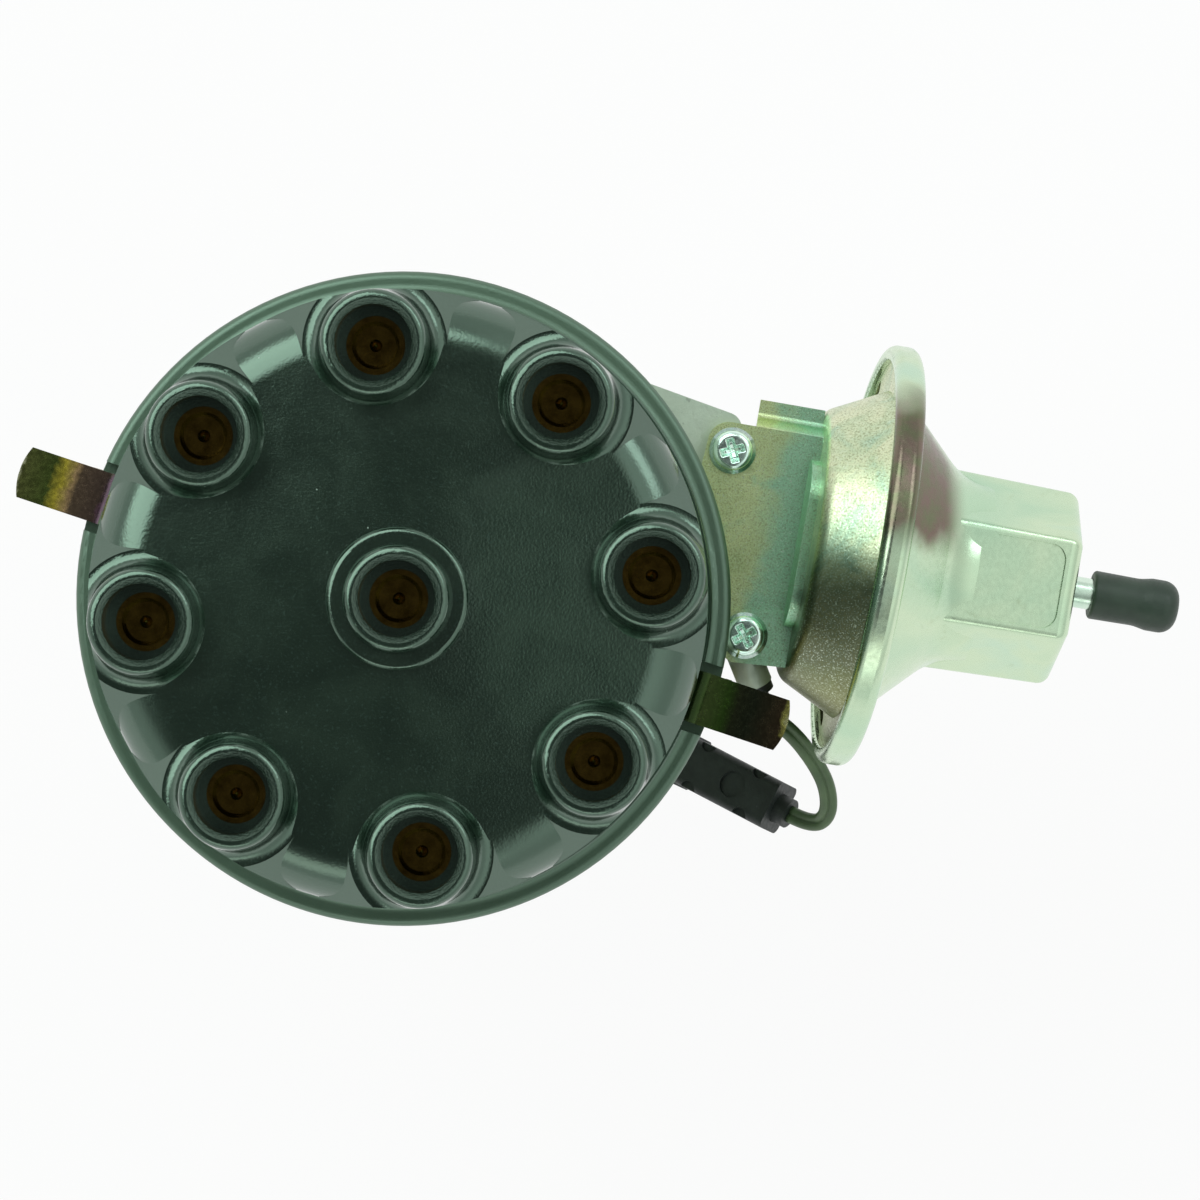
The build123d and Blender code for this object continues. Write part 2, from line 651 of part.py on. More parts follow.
def governor_weight():
    """Weight that swings out about the pivot at -X and turns the yoke by its drive pin at +Y."""
    ring = tube(WEIGHT_OUTER_R, WEIGHT_INNER_R, WEIGHT_Z, WEIGHT_Z + WEIGHT_THICKNESS)
    reach = 2 * WEIGHT_OUTER_R
    wedge = plate([(0, 0), polar(reach, 42), polar(reach, 100), polar(reach, 168)], WEIGHT_Z, YOKE_Z)
    eye = disc(WEIGHT_PIN_R + WEIGHT_EYE_WALL, WEIGHT_Z, WEIGHT_Z + WEIGHT_THICKNESS, -WEIGHT_PIVOT_R)
    body = (ring & wedge) + eye
    body += disc(4.0, WEIGHT_Z, WEIGHT_Z + WEIGHT_THICKNESS, 0, DRIVE_PIN_X + 2)
    body -= disc(WEIGHT_PIN_R + TURN_FIT, WEIGHT_Z - 1, YOKE_Z + 1, -WEIGHT_PIVOT_R)
    body -= disc(WEIGHT_INNER_R, WEIGHT_Z - 1, WEIGHT_Z + 3)
    return body + disc(DRIVE_PIN_R, WEIGHT_Z + WEIGHT_THICKNESS, YOKE_Z + YOKE_SHEET, 0, DRIVE_PIN_X)


def governor_spring():
    """Extension spring from the pivot pin at +X to the yoke post at +Y."""
    start = Vector(WEIGHT_PIVOT_R, 0, 0)
    end = Vector(0, POST_RING_R, 0)
    along = end - start
    middle_z = YOKE_Z + YOKE_SHEET + POST_HEIGHT / 2 + 0.1
    wire_r = SPRING_WIRE_R
    coil_r = SPRING_COIL_R
    eye_r = WEIGHT_PIN_R + wire_r + 0.15
    post_eye_r = POST_R + wire_r + 0.15
    length = along.length - eye_r - post_eye_r
    turns = 7
    spring = coil(coil_r, wire_r, length / turns, turns)
    angle = math.degrees(math.atan2(along.Y, along.X))
    place = Pos(start.X, start.Y, middle_z) * Rot(0, 0, angle)
    body = place * Pos(eye_r, 0, 0) * Rot(0, 90, 0) * spring
    first = Pos(start.X, start.Y, middle_z) * Torus(eye_r, wire_r)
    last = Pos(end.X, end.Y, middle_z) * Torus(post_eye_r, wire_r)
    stems = [
        place * Pos(eye_r, 0, 0) * Box(2 * wire_r, 2 * coil_r, 2 * wire_r),
        place * Pos(along.length - post_eye_r, 0, 0) * Box(2 * wire_r, 2 * coil_r, 2 * wire_r),
    ]
    return body + [first, last] + stems


def advance_sleeve():
    barrel = tube(SLEEVE_R, SHAFT_R + TURN_FIT, YOKE_Z, SLEEVE_TOP_Z)
    top_z = YOKE_Z + YOKE_SHEET
    bar = extrude(Pos(0, 0, YOKE_Z) * RectangleRounded(YOKE_WIDTH, YOKE_LENGTH, YOKE_CORNER), YOKE_SHEET)
    bar += disc(SLEEVE_R + YOKE_HUB_WALL, YOKE_Z, top_z)
    slot_half = DRIVE_PIN_R + FREE_GAP
    slot_middle = DRIVE_PIN_X + 2.3
    slots = [
        Pos(0, side * slot_middle, YOKE_Z - 1)
        * extrude(SlotCenterToCenter(5.6, 2 * slot_half, rotation=90), 4)
        for side in (-1, 1)
    ]
    posts = [disc(POST_R, top_z, top_z + POST_HEIGHT, 0, side * POST_RING_R) for side in (-1, 1)]
    body = bar - slots + barrel + posts - disc(SHAFT_R + TURN_FIT, YOKE_Z - 1, SLEEVE_TOP_Z + 1)
    half_key = KEY_WIDTH / 2 + TURN_FIT
    key_r = SLEEVE_R - KEY_DEPTH - 0.1
    keyway = block(key_r, SLEEVE_R + 1, -half_key, half_key, ROTOR_LOW_Z - 0.1, SLEEVE_TOP_Z + 1)
    return body - keyway - reluctor_key(SEAT_FIT)


def reluctor_key(gap):
    return disc(0.9 + gap, RELUCTOR_Z, RELUCTOR_Z + RELUCTOR_HEIGHT, 0, SLEEVE_R)


def reluctor():
    half = TOOTH_WIDTH / 2
    top_z = RELUCTOR_Z + RELUCTOR_HEIGHT
    root = SLEEVE_R + 1
    flank = half + 1.2
    tooth = [(root, -flank), (RELUCTOR_TIP_R, -half), (RELUCTOR_TIP_R, half), (root, flank)]
    tooth = plate(tooth, RELUCTOR_Z, top_z)
    step = 360.0 / TOOTH_COUNT
    teeth = [spun(tooth, step * k) for k in range(TOOTH_COUNT)]
    body = disc(RELUCTOR_ROOT_R, RELUCTOR_Z, top_z) + teeth
    body = body & disc(RELUCTOR_TIP_R, RELUCTOR_Z, top_z)
    rim = 0.25 * (RELUCTOR_ROOT_R - SLEEVE_R)
    relief = tube(RELUCTOR_ROOT_R - rim, SLEEVE_R + 1.6 * rim, RELUCTOR_Z + RELUCTOR_HEIGHT / 2, top_z + 1)
    bore = disc(SLEEVE_R + SEAT_FIT, RELUCTOR_Z - 1, top_z + 1)
    return body - relief - bore - reluctor_key(SEAT_FIT)


# Pickup group


def plate_screw_points():
    return [polar(LEDGE_RING_R, angle) for angle in LEDGE_ANGLES[::2]]


def lower_plate():
    top_z = LOWER_PLATE_Z + PLATE_SHEET
    body = disc(LOWER_PLATE_R, LOWER_PLATE_Z, top_z)
    body += disc(HUB_R, LOWER_PLATE_Z, PICKUP_TOP_Z + 1.1)
    body -= disc(HUB_R - HUB_WALL, LOWER_PLATE_Z - 1, PICKUP_TOP_Z + 2)
    window = SlotCenterToCenter(WINDOW_LENGTH, WINDOW_WIDTH, rotation=90)
    window = Pos((HUB_R + LOWER_PLATE_R) / 2, 0, LOWER_PLATE_Z - 1) * extrude(window, PLATE_SHEET + 2)
    hole_r = PLATE_SCREW_R + 0.2
    holes = [disc(hole_r, LOWER_PLATE_Z - 1, top_z + 1, x, y) for x, y in plate_screw_points()]
    pad_ring_r = PICKUP_PLATE_R - 2 * SLIDE_PAD_R
    pads = []
    for k in range(3):
        body -= spun(window, WINDOW_TURN + 120 * k)
        x, y = polar(pad_ring_r, WINDOW_TURN + 60 + 120 * k)
        pads.append(disc(SLIDE_PAD_R, top_z, top_z + SLIDE_PAD_HEIGHT, x, y))
    return body - holes + pads


def lower_plate_screws():
    screw = pan_screw(PLATE_SCREW_HEAD_R, 1.8, PLATE_SCREW_R, 9.0)
    top_z = LOWER_PLATE_Z + PLATE_SHEET
    return group([Pos(x, y, top_z) * screw for x, y in plate_screw_points()])


def plate_retainer():
    low_z = PICKUP_TOP_Z + 0.05
    ring = tube(HUB_R + RETAINER_WIDTH, HUB_R + SEAT_FIT, low_z, low_z + RETAINER_SHEET)
    return ring - block(-1.5, 1.5, -HUB_R - 4, -HUB_R + 4, low_z - 1, low_z + 2)


def pull_pin_point():
    return polar(ARM_R, UNIT_ANGLE + 90 + STROKE_DEGREES / 2)


def pickup_plate():
    body = disc(PICKUP_PLATE_R, PICKUP_PLATE_Z, PICKUP_TOP_Z)
    body -= disc(HUB_R + TURN_FIT, PICKUP_PLATE_Z - 1, PICKUP_TOP_Z + 1)
    window = SlotCenterToCenter(PICKUP_WINDOW_LENGTH, PICKUP_WINDOW_WIDTH, rotation=90)
    window = Pos((HUB_R + PICKUP_PLATE_R) / 2, 0, PICKUP_PLATE_Z - 1) * extrude(window, PLATE_SHEET + 2)
    windows = [spun(window, angle) for angle in PICKUP_WINDOW_ANGLES]
    pin = disc(PULL_PIN_R, PICKUP_TOP_Z, STRIP_Z + STRIP[1] / 2 + 2, *pull_pin_point())
    return body - windows - pickup_screw_holes() + pin


def coil_height():
    return RELUCTOR_Z + RELUCTOR_HEIGHT / 2


def pole_piece():
    """Steel core that faces the reluctor, and the foot that carries it, in one bent bar."""
    front_r = RELUCTOR_TIP_R + AIR_GAP
    half = CORE_WIDTH / 2
    low_z = coil_height() - CORE_HEIGHT / 2
    high_z = coil_height() + CORE_HEIGHT / 2
    core = block(front_r, MAGNET_START, -half, half, low_z, high_z)
    return spun(core & tube(MAGNET_START + 5, front_r, low_z - 1, high_z + 1), PICKUP_ANGLE)


def pickup_coil():
    """Bobbin with two cheeks and the winding between them, round the pole piece."""
    front = RELUCTOR_TIP_R + AIR_GAP + 1.4
    z = coil_height()
    length = COIL_LENGTH
    winding = Rot(0, 90, 0) * disc(COIL_R - CHEEK, 0, length)
    cheeks = [Rot(0, 90, 0) * disc(COIL_R, low, low + CHEEK) for low in (0, length - CHEEK)]
    side = CORE_WIDTH / 2 + SEAT_FIT
    top = CORE_HEIGHT / 2 + SEAT_FIT
    hole = block(-1, length + 1, -side, side, -top, top)
    return spun(Pos(front, 0, z) * (winding + cheeks - hole), PICKUP_ANGLE)


def pickup_magnet():
    depth, width, height = MAGNET
    z = coil_height()
    start = MAGNET_START
    body = block(start, start + depth, -width / 2, width / 2, z - height / 2, z + height / 2)
    return spun(body, PICKUP_ANGLE)


def pickup_bracket():
    """Angle bracket that stands on the plate behind the magnet."""
    depth, width, height = MAGNET
    z = coil_height()
    start = MAGNET_START + depth
    end = start + PICKUP_SHEET
    foot_z = PICKUP_TOP_Z + PICKUP_SHEET
    wall = block(start, end, -width / 2, width / 2, PICKUP_TOP_Z, z + height / 2)
    half = width / 2 + 5
    foot = block(start - 9, end, -half, half, PICKUP_TOP_Z, foot_z)
    inside = disc(PICKUP_PLATE_R, PICKUP_TOP_Z, z + height)
    shelf = block(start - depth, start, -width / 2, width / 2, foot_z, z - height / 2)
    body = spun((wall + foot) & inside, PICKUP_ANGLE) + spun(shelf, PICKUP_ANGLE)
    return body - pickup_screw_holes()


def pickup_screw_points():
    depth, width = MAGNET[:2]
    x = MAGNET_START + depth - 4.5
    y = width / 2 + PICKUP_SCREW_HEAD_R
    return [(x, -y), (x, y)]


def pickup_screw_holes():
    low, high = PICKUP_PLATE_Z - 1, PICKUP_TOP_Z + 3
    radius = PICKUP_SCREW_R + SEAT_FIT
    return [spun(disc(radius, low, high, x, y), PICKUP_ANGLE) for x, y in pickup_screw_points()]


def pickup_screws():
    length = PICKUP_SHEET + PLATE_SHEET - 0.1
    screw = pan_screw(PICKUP_SCREW_HEAD_R, 1.6, PICKUP_SCREW_R, length)
    top_z = PICKUP_TOP_Z + PICKUP_SHEET
    return group([spun(Pos(x, y, top_z) * screw, PICKUP_ANGLE) for x, y in pickup_screw_points()])


# Vacuum advance group


def unit_place():
    """Frame of the vacuum unit: Z along its axis to the nose, -X up, origin at the middle of the rim."""
    return (
        Rot(0, 0, UNIT_ANGLE)
        * Pos(UNIT_REACH, ARM_R, UNIT_Z)
        * Rot(0, 90 + UNIT_TILT, 0)
    )


def drum_corners(inset):
    """Outside of the rear drum, or its inside when inset by the sheet."""
    lean = (DRUM_FRONT_R - DRUM_BACK_R) / (DRUM_LENGTH - 1.5)
    side_inset = inset * math.hypot(1, lean)
    return [
        (DRUM_BACK_R - side_inset + lean * inset, -DRUM_LENGTH + inset, max(2.6 - inset, 0.5)),
        (DRUM_FRONT_R - side_inset + lean * inset, -1.5 + inset),
    ]


def rear_shell():
    flange = [(RIM_R - 1.4, -1.5), (RIM_R - 1.4, -0.3), (0, -0.3)]
    outside = turned([(0, -DRUM_LENGTH)] + drum_corners(0) + flange)
    inside = turned([(0, -DRUM_LENGTH + SHEET)] + drum_corners(SHEET) + [(0, -0.3)])
    slot = Pos(-DRUM_FRONT_R - 3.2, 0, -3) * extrude(SlotOverall(7.6, 2.0, rotation=90), 5)
    slots = [Rot(0, 0, angle) * slot for angle in (0, 120, 240)]
    return outside - inside - slots - disc(ROD_R + 2.5, -DRUM_LENGTH - 1, 0)


def drum_solid():
    return turned([(0, -DRUM_LENGTH)] + drum_corners(0) + [(RIM_R, -1.5), (RIM_R, 2), (0, 2)])


def nose_block(corner_r, end, rounding):
    """Six-sided nose with a flat on top."""
    flat = RegularPolygon(corner_r, 6, rotation=30)
    flat = fillet(flat.vertices(), NOSE_ROUND)
    start = CONE_TIP_Z - 6
    nose = extrude(Pos(0, 0, start) * flat, end - start, taper=NOSE_TAPER)
    if rounding:
        nose = fillet(nose.faces().sort_by(Axis.Z)[-1].edges(), rounding)
    return nose


def front_shell():
    neck_r = CONE_END_R - 0.6
    neck_z = CONE_TIP_Z + 5
    bell = turned(
        [
            (0, 0.5),
            (RIM_R - 2, 0.5),
            (RIM_R - 2, RIM_TOP),
            (CONE_R, RIM_TOP, 1.2),
            (CONE_END_R, CONE_TIP_Z, CONE_FLARE),
            (neck_r, neck_z),
            (0, neck_z),
        ]
    )
    slant = SHEET * math.sqrt(2)
    bell_inside = turned(
        [
            (0, 0.4),
            (CONE_R + 1.5 - slant, 0.4),
            (CONE_END_R - SHEET, CONE_TIP_Z - slant + SHEET),
            (neck_r - SHEET, neck_z),
            (0, neck_z),
        ]
    )
    nose = nose_block(NOSE_CORNER_R, NOSE_LENGTH, 2.0)
    inside = nose_block(NOSE_CORNER_R - SHEET, NOSE_LENGTH - SHEET, 0)
    lip_z = -1.5 - SEAT_FIT
    rim = turned(
        [
            (RIM_R - SHEET, 0.5),
            (RIM_R - SHEET, lip_z),
            (RIM_R - 2.4, lip_z),
            (RIM_R - 2.4, lip_z - SHEET, 0.4),
            (RIM_R, lip_z - SHEET, 1.5),
            (RIM_R, RIM_TOP, 1.6),
            (RIM_R - 3, RIM_TOP),
            (RIM_R - 3, 0.5),
        ]
    )
    body = bell + nose + rim - bell_inside - inside
    panels = [Rot(0, 0, 60 * k) * nose_panel() for k in (1, 3, 5)]
    return body - panels - disc(NIPPLE_R + SEAT_FIT, NOSE_LENGTH - 5, NOSE_LENGTH + 1)


def nose_panel():
    """Shallow panel that is pressed into a flat of the nose."""
    middle = NOSE_LENGTH - PANEL_LENGTH / 2 - 2.5
    lean = (middle - CONE_TIP_Z + 6) * math.tan(math.radians(NOSE_TAPER))
    sheet = RectangleRounded(PANEL_LENGTH, NOSE_CORNER_R - 2 * PANEL_BORDER, 2.5)
    place = Pos(NOSE_FLAT_R - lean - PANEL_DEPTH, 0, middle) * Rot(0, 90 - NOSE_TAPER, 0)
    return place * extrude(sheet, 2)


def vacuum_nipple():
    body = turned(
        [
            (NIPPLE_BORE_R, NOSE_LENGTH - 3),
            (NIPPLE_R, NOSE_LENGTH - 3),
            (NIPPLE_R, NOSE_LENGTH),
            (NIPPLE_R + 1.3, NOSE_LENGTH, 0.2),
            (NIPPLE_R + 1.3, NOSE_LENGTH + 1.0, 0.4),
            (NIPPLE_R, NOSE_LENGTH + 1.0),
            (NIPPLE_R, NIPPLE_END, 0.5),
            (NIPPLE_BORE_R, NIPPLE_END),
        ]
    )
    return body


def nipple_cap():
    bore = NIPPLE_R + TURN_FIT
    return turned(
        [
            (bore, RUBBER_START),
            (RUBBER_R, RUBBER_START, 0.5),
            (RUBBER_R - 0.1, RUBBER_END - 6.5, 6),
            (RUBBER_R + 0.3, RUBBER_END - 4.5, 2),
            (RUBBER_R + 0.3, RUBBER_END, 2.6),
            (0, RUBBER_END),
            (0, NIPPLE_END + 0.4),
            (bore, NIPPLE_END + 0.4),
        ]
    )


def diaphragm_cups():
    back = tube(CUP_R + 1, ROD_R + SEAT_FIT, -1.5, -0.3)
    front = turned(
        [
            (ROD_R + SEAT_FIT, 0.5),
            (CUP_R, 0.5, 1.0),
            (CUP_R, 3.2),
            (CUP_R - 1, 3.2),
            (CUP_R - 1, 1.5),
            (ROD_R + SEAT_FIT, 1.5),
        ]
    )
    return group([back, front])


def diaphragm_spring():
    start = 2.6
    end = NOSE_LENGTH - SHEET - 2.4
    turns = 4
    return Pos(0, 0, start) * coil(9.0, 0.9, (end - start) / turns, turns)


def vacuum_link():
    """Rod through the rear shell, and the flat strip that pulls the plate's pin."""
    rod = disc(ROD_R, ROD_END, 1.5) + disc(4.0, 1.5, 2.5)
    rod = unit_place() * rod
    tilt = math.radians(UNIT_TILT)
    strip_x = UNIT_REACH + ROD_END * math.cos(tilt)
    strip_z = STRIP_Z
    width, thick = STRIP
    pin_x = -ARM_R * math.sin(math.radians(STROKE_DEGREES / 2))
    strip = plate(
        [
            (pin_x - 5, ARM_R - width / 2, 3.5),
            (strip_x + 3, ARM_R - width / 2, 1.5),
            (strip_x + 3, ARM_R + width / 2, 1.5),
            (pin_x - 5, ARM_R + width / 2, 3.5),
        ],
        strip_z - thick / 2,
        strip_z + thick / 2,
    )
    x, y = pull_pin_point()
    hole = disc(PULL_PIN_R + FREE_GAP, strip_z - 2, strip_z + 2, x, y)
    return rod + spun(strip, UNIT_ANGLE) - hole


def from_boss(corners):
    """Corners whose first number is counted from the boss's face."""
    return [(BOSS_X + corner[0], *corner[1:]) for corner in corners]


def bracket_holes(radius, low, high):
    return [disc(radius, low, high, x, y) for x, y in SCREW_POINTS]


def side_tab(reach, side, high_z):
    """Tab that is bent down from the plate's edge and out again, along the unit's direction."""
    start, end, bend, outer = reach
    start += BOSS_X
    low_z = PLATE_Z - TAB_DROP
    inner = bend - side * 2.6
    profile = [
        (inner, high_z),
        (bend, high_z, 1.2),
        (bend + side * 1.8, low_z + BRACKET_SHEET, 1.0),
        (outer, low_z + BRACKET_SHEET),
        (outer, low_z),
        (bend + side * 0.5, low_z, 2.0),
        (bend - side * 1.2, high_z - BRACKET_SHEET, 0.6),
        (inner, high_z - BRACKET_SHEET),
    ]
    tab = extrude(Plane.YZ.offset(start) * outline(profile), BOSS_X + end - start)
    return spun(tab, UNIT_ANGLE)


def vacuum_bracket():
    """Stamped plate on the housing boss, its two side tabs, and the flange on the rear shell."""
    top_z = PLATE_Z + BRACKET_SHEET
    main = from_boss([(-9.8, 14), (-6.3, 27.8, 3.2), (10.7, 24.9), (8, -3), (-9.8, -3)])
    low = from_boss([(-6.3, -1.6), (8.2, -3), (8.2, -11), (-4.5, -9.7, 2)])
    step = from_boss([(-6.3, -3), (-6.3, -1.4), (8, -2.4), (8, -4.4)])
    body = plate(main, PLATE_Z, top_z)
    body += plate(low, PLATE_Z + PAD_STEP, top_z + PAD_STEP)
    body += plate(step, PLATE_Z, top_z + PAD_STEP)
    body += side_tab(UPPER_TAB, 1, top_z) + side_tab(LOWER_TAB, -1, top_z + PAD_STEP)
    flange = extrude(Pos(0, 0, -DRUM_LENGTH - 1.5) * RectangleRounded(26, 26, 6), 1.5)
    body += unit_place() * flange
    body -= unit_place() * drum_solid()
    body -= unit_place() * disc(60, -DRUM_LENGTH, 10)
    body -= unit_place() * disc(5.0, -DRUM_LENGTH - 3, -DRUM_LENGTH + 1)
    body -= disc(BOWL_R + FREE_GAP, PLATE_Z - 5, CAP_SEAT_Z)
    return body - bracket_holes(SCREW_R + FREE_GAP, PLATE_Z - 1, top_z + 3)


def bracket_screws():
    screw = pan_screw(SCREW_HEAD_R, 2.2, SCREW_R, BRACKET_SHEET + SCREW_BITE)
    screw += tube(SCREW_HEAD_R + SCREW_WASHER, SCREW_R - 0.1, 0, SCREW_WASHER)
    upper, lower = SCREW_POINTS
    top_z = PLATE_Z + BRACKET_SHEET
    return group([Pos(*upper, top_z) * screw, Pos(*lower, top_z + PAD_STEP) * screw])


# Housing group


def stub_direction():
    drop = math.radians(STUB_DROP)
    x, y = polar(math.cos(drop), STUB_ANGLE)
    return Vector(x, y, -math.sin(drop))


def stub_place(offset):
    """Frame on the stub's axis, Z outwards, at a distance from its tip."""
    direction = stub_direction()
    return Plane(origin=Vector(*STUB_TIP) + direction * offset, z_dir=direction).location


def clip_pad():
    return block(BOWL_R - 2.5, PAD_R, -6.0, 6.0, CLIP_PIVOT_Z - 15, CLIP_PIVOT_Z + 5)


def housing():
    body = turned(
        [
            (0, SHANK_END_Z),
            (SHANK_R, SHANK_END_Z, SHANK_CORNER),
            (SHANK_R, 0),
            (FLANGE_HOLD_R, 0, 0.8),
            (FLANGE_HOLD_R, FLANGE_HOLD_Z, 1.5),
            (NECK_R, FLANGE_HOLD_Z, 1.5),
            (NECK_R + 1, CONE_Z, 5),
            (NECK_R + CONE_SPREAD, BOWL_UNDER_Z, 4),
            (BOWL_R - BOWL_DRAFT, BOWL_FLOOR_Z - 1.5, 6),
            (BOWL_R, CAP_SEAT_Z),
            (0, CAP_SEAT_Z),
        ]
    )
    rib = Plane.XZ * outline(
        [
            (NECK_R - 2, FLANGE_HOLD_Z + 5),
            (NECK_R + 2, FLANGE_HOLD_Z + 6),
            (BOWL_R - 8, BOWL_UNDER_Z + 2.2),
            (NECK_R - 2, BOWL_FLOOR_Z - 2),
        ]
    )
    rib = extrude(rib, RIB_WIDTH / 2, both=True)
    ribs = [spun(rib, 30 + 360.0 / RIB_COUNT * k) for k in range(RIB_COUNT)]
    inside = BOWL_BORE_R - 14.5 - BOSS_X
    face = [(inside, 14), (-16.3, 33.4), (-2, 28.2, 2.5), (0, 8), (1.4, -8.6, 2), (-7.8, -9.4)]
    face.append((inside, -6))
    seat = [(-13.8, -4.8), (0.9, -4.8), (1.4, -8.6, 2), (-7.8, -9.4)]
    boss = plate(from_boss(face), PLATE_Z - BOSS_DEPTH, PLATE_Z)
    boss += plate(from_boss(seat), PLATE_Z - 2, PLATE_Z + PAD_STEP)
    stub = stub_place(-14) * disc(STUB_R, 0, 14)
    pads = [spun(clip_pad(), angle) for angle in CLIP_ANGLES]
    body = body + ribs + [boss, stub] + pads
    ledges = [
        disc(LEDGE_R, BOWL_FLOOR_Z, LOWER_PLATE_Z, *polar(LEDGE_RING_R, angle)) for angle in LEDGE_ANGLES
    ]
    bowl = disc(BOWL_BORE_R, BOWL_FLOOR_Z, CAP_SEAT_Z + 1) - ledges
    upper_bush_z = BOWL_FLOOR_Z + 0.5 - BUSHING_LENGTH
    lower_bush_top = SHANK_END_Z + 1 + BUSHING_LENGTH
    bores = [
        disc(BUSHING_R + SEAT_FIT, upper_bush_z, BOWL_FLOOR_Z + 1),
        disc(SHAFT_R + 1.5, SHANK_END_Z - 1, BOWL_FLOOR_Z),
        disc(BUSHING_R + SEAT_FIT, SHANK_END_Z - 1, lower_bush_top),
    ]
    side = SEAL_WIRE_R + 0.2
    groove = tube(SHANK_R + 1, SHANK_R - GROOVE_DEPTH, SEAL_Z - side, SEAL_Z + side)
    window = block(BOWL_BORE_R - 10.5, BOSS_X + 8, ARM_R - 6, ARM_R + 6, UNIT_Z - 2, PLATE_Z - 0.5)
    window = spun(window, UNIT_ANGLE)
    wire_way = stub_place(-19) * disc(STUB_BORE_R + SEAT_FIT, 0, 20)
    half = LUG_WIDTH / 2 + FREE_GAP
    notch = block(BOWL_BORE_R - 1, BOWL_R + 1, -half, half, CAP_SEAT_Z - SPIGOT_DEPTH, CAP_SEAT_Z + 1)
    holes = bracket_holes(SCREW_R + SEAT_FIT, PLATE_Z - SCREW_BITE - 2, PLATE_Z + 3)
    plate_holes = [
        disc(PLATE_SCREW_R + SEAT_FIT, LOWER_PLATE_Z - 10, LOWER_PLATE_Z + 1, x, y)
        for x, y in plate_screw_points()
    ]
    body = body - [bowl, groove, window, wire_way, spun(notch, LUG_ANGLE)] - bores - holes - plate_holes
    return body - [spun(rivet_cut, angle) for angle in CLIP_ANGLES for rivet_cut in rivets(SEAT_FIT)]


def shank_seal():
    return Pos(0, 0, SEAL_Z) * Torus(SHANK_R + SEAL_PROUD - SEAL_WIRE_R, SEAL_WIRE_R)


def rivets(gap):
    """The two rivets of one clip bracket, along +X, grown by a gap when they are cuts."""
    under = PAD_R + BRACKET_BASE
    head = turned([(0, under), (2, under), (RIVET_R + 0.5, under + 0.8, 0.5), (0, under + 0.8)])
    rivet = Rot(0, 90, 0) * (disc(RIVET_R + gap, PAD_R - 2.5 - gap, under + gap) + head)
    return [Pos(0, 0, CLIP_PIVOT_Z - drop) * rivet for drop in RIVET_DROPS]


def clip_bracket():
    ear_in, ear_out = CLIP_EAR_IN, CLIP_EAR_OUT
    z = CLIP_PIVOT_Z
    base = block(PAD_R, PAD_R + BRACKET_BASE, -ear_out, ear_out, z - RIVET_DROPS[1] - 2.4, z + 3)
    side = Plane.XZ * outline(
        [
            (PAD_R, z - 3.5),
            (CLIP_PIVOT_R, z - 3.0, 2),
            (CLIP_PIVOT_R + EAR_R, z, 2.2),
            (CLIP_PIVOT_R, z + 3.0, 2),
            (PAD_R, z + 3),
        ]
    )
    ears = [Pos(0, y, 0) * extrude(side, -EAR_SHEET) for y in (ear_in, -ear_out)]
    pin_hole = Pos(CLIP_PIVOT_R, 0, z) * Rot(90, 0, 0) * disc(CLIP_PIN_R + SEAT_FIT, -10, 10)
    return base + ears - pin_hole - rivets(SEAT_FIT)


def clip_pin():
    half = CLIP_EAR_OUT
    pin = disc(CLIP_PIN_R, -half, half) + disc(CLIP_PIN_R + 0.5, half, half + 0.4)
    return Pos(CLIP_PIVOT_R, 0, CLIP_PIVOT_Z) * Rot(90, 0, 0) * pin


def clip():
    """Spring clip: eye on its pin, strap, hook over the pocket floor and thumb tab."""
    half = CLIP_SHEET / 2
    hook_z = FLANGE_Z - POCKET_DEPTH + FREE_GAP + half
    strap_r = FLANGE_R + 0.6 + half
    eye_r = CLIP_PIN_R + TURN_FIT + CLIP_SHEET
    turn_r = POCKET_WALL_R + 1.2 + half
    path = FilletPolyline(
        (CLIP_PIVOT_R - eye_r + half, 0, CLIP_PIVOT_Z),
        (strap_r, 0, hook_z),
        (turn_r, 0, hook_z),
        (turn_r, 0, hook_z + 3.4),
        (CLIP_TIP_R, 0, hook_z + 4.2),
        radius=[1.3, 1.6, 1.6],
    )
    section = Plane(origin=path @ 0, x_dir=(0, 1, 0), z_dir=path % 0) * Rectangle(CLIP_WIDTH, CLIP_SHEET)
    strap = sweep(section, path)
    low, high = CLIP_PIVOT_Z - 5, FLANGE_Z + 9
    plan = disc(CLIP_END_ROUND, low, high, CLIP_TIP_R - CLIP_END_ROUND)
    plan += block(turn_r - 2, CLIP_TIP_R - 0.9 * CLIP_END_ROUND, -CLIP_WIDTH, CLIP_WIDTH, low, high)
    wide, slim = CLIP_WIDTH, EYE_WIDTH / 2
    shoulder_z = CLIP_PIVOT_Z + 5.6
    sides = [block(0, CLIP_TIP_R, y, y + wide, low - 1, shoulder_z) for y in (slim, -slim - wide)]
    strap = (strap & plan) - sides
    at_pivot = Pos(CLIP_PIVOT_R, 0, CLIP_PIVOT_Z) * Rot(90, 0, 0)
    eye = at_pivot * disc(eye_r, -slim, slim)
    return strap + eye - at_pivot * disc(CLIP_PIN_R + TURN_FIT, -wide, wide)


# Lead and connector


def lead_grommet():
    plug = disc(STUB_BORE_R, 0, 5.0) + disc(STUB_R - 0.2, 5.0, 5.0 + GROMMET_LIP)
    return stub_place(-5.0) * plug


def connector_place():
    """Frame of the connector: X from its cable end to its nose."""
    place = Pos(*STUB_TIP) * Pos(*CONNECTOR_SPOT)
    return place * Rot(0, 0, CONNECTOR_ANGLE) * Rot(0, CONNECTOR_TILT, 0)


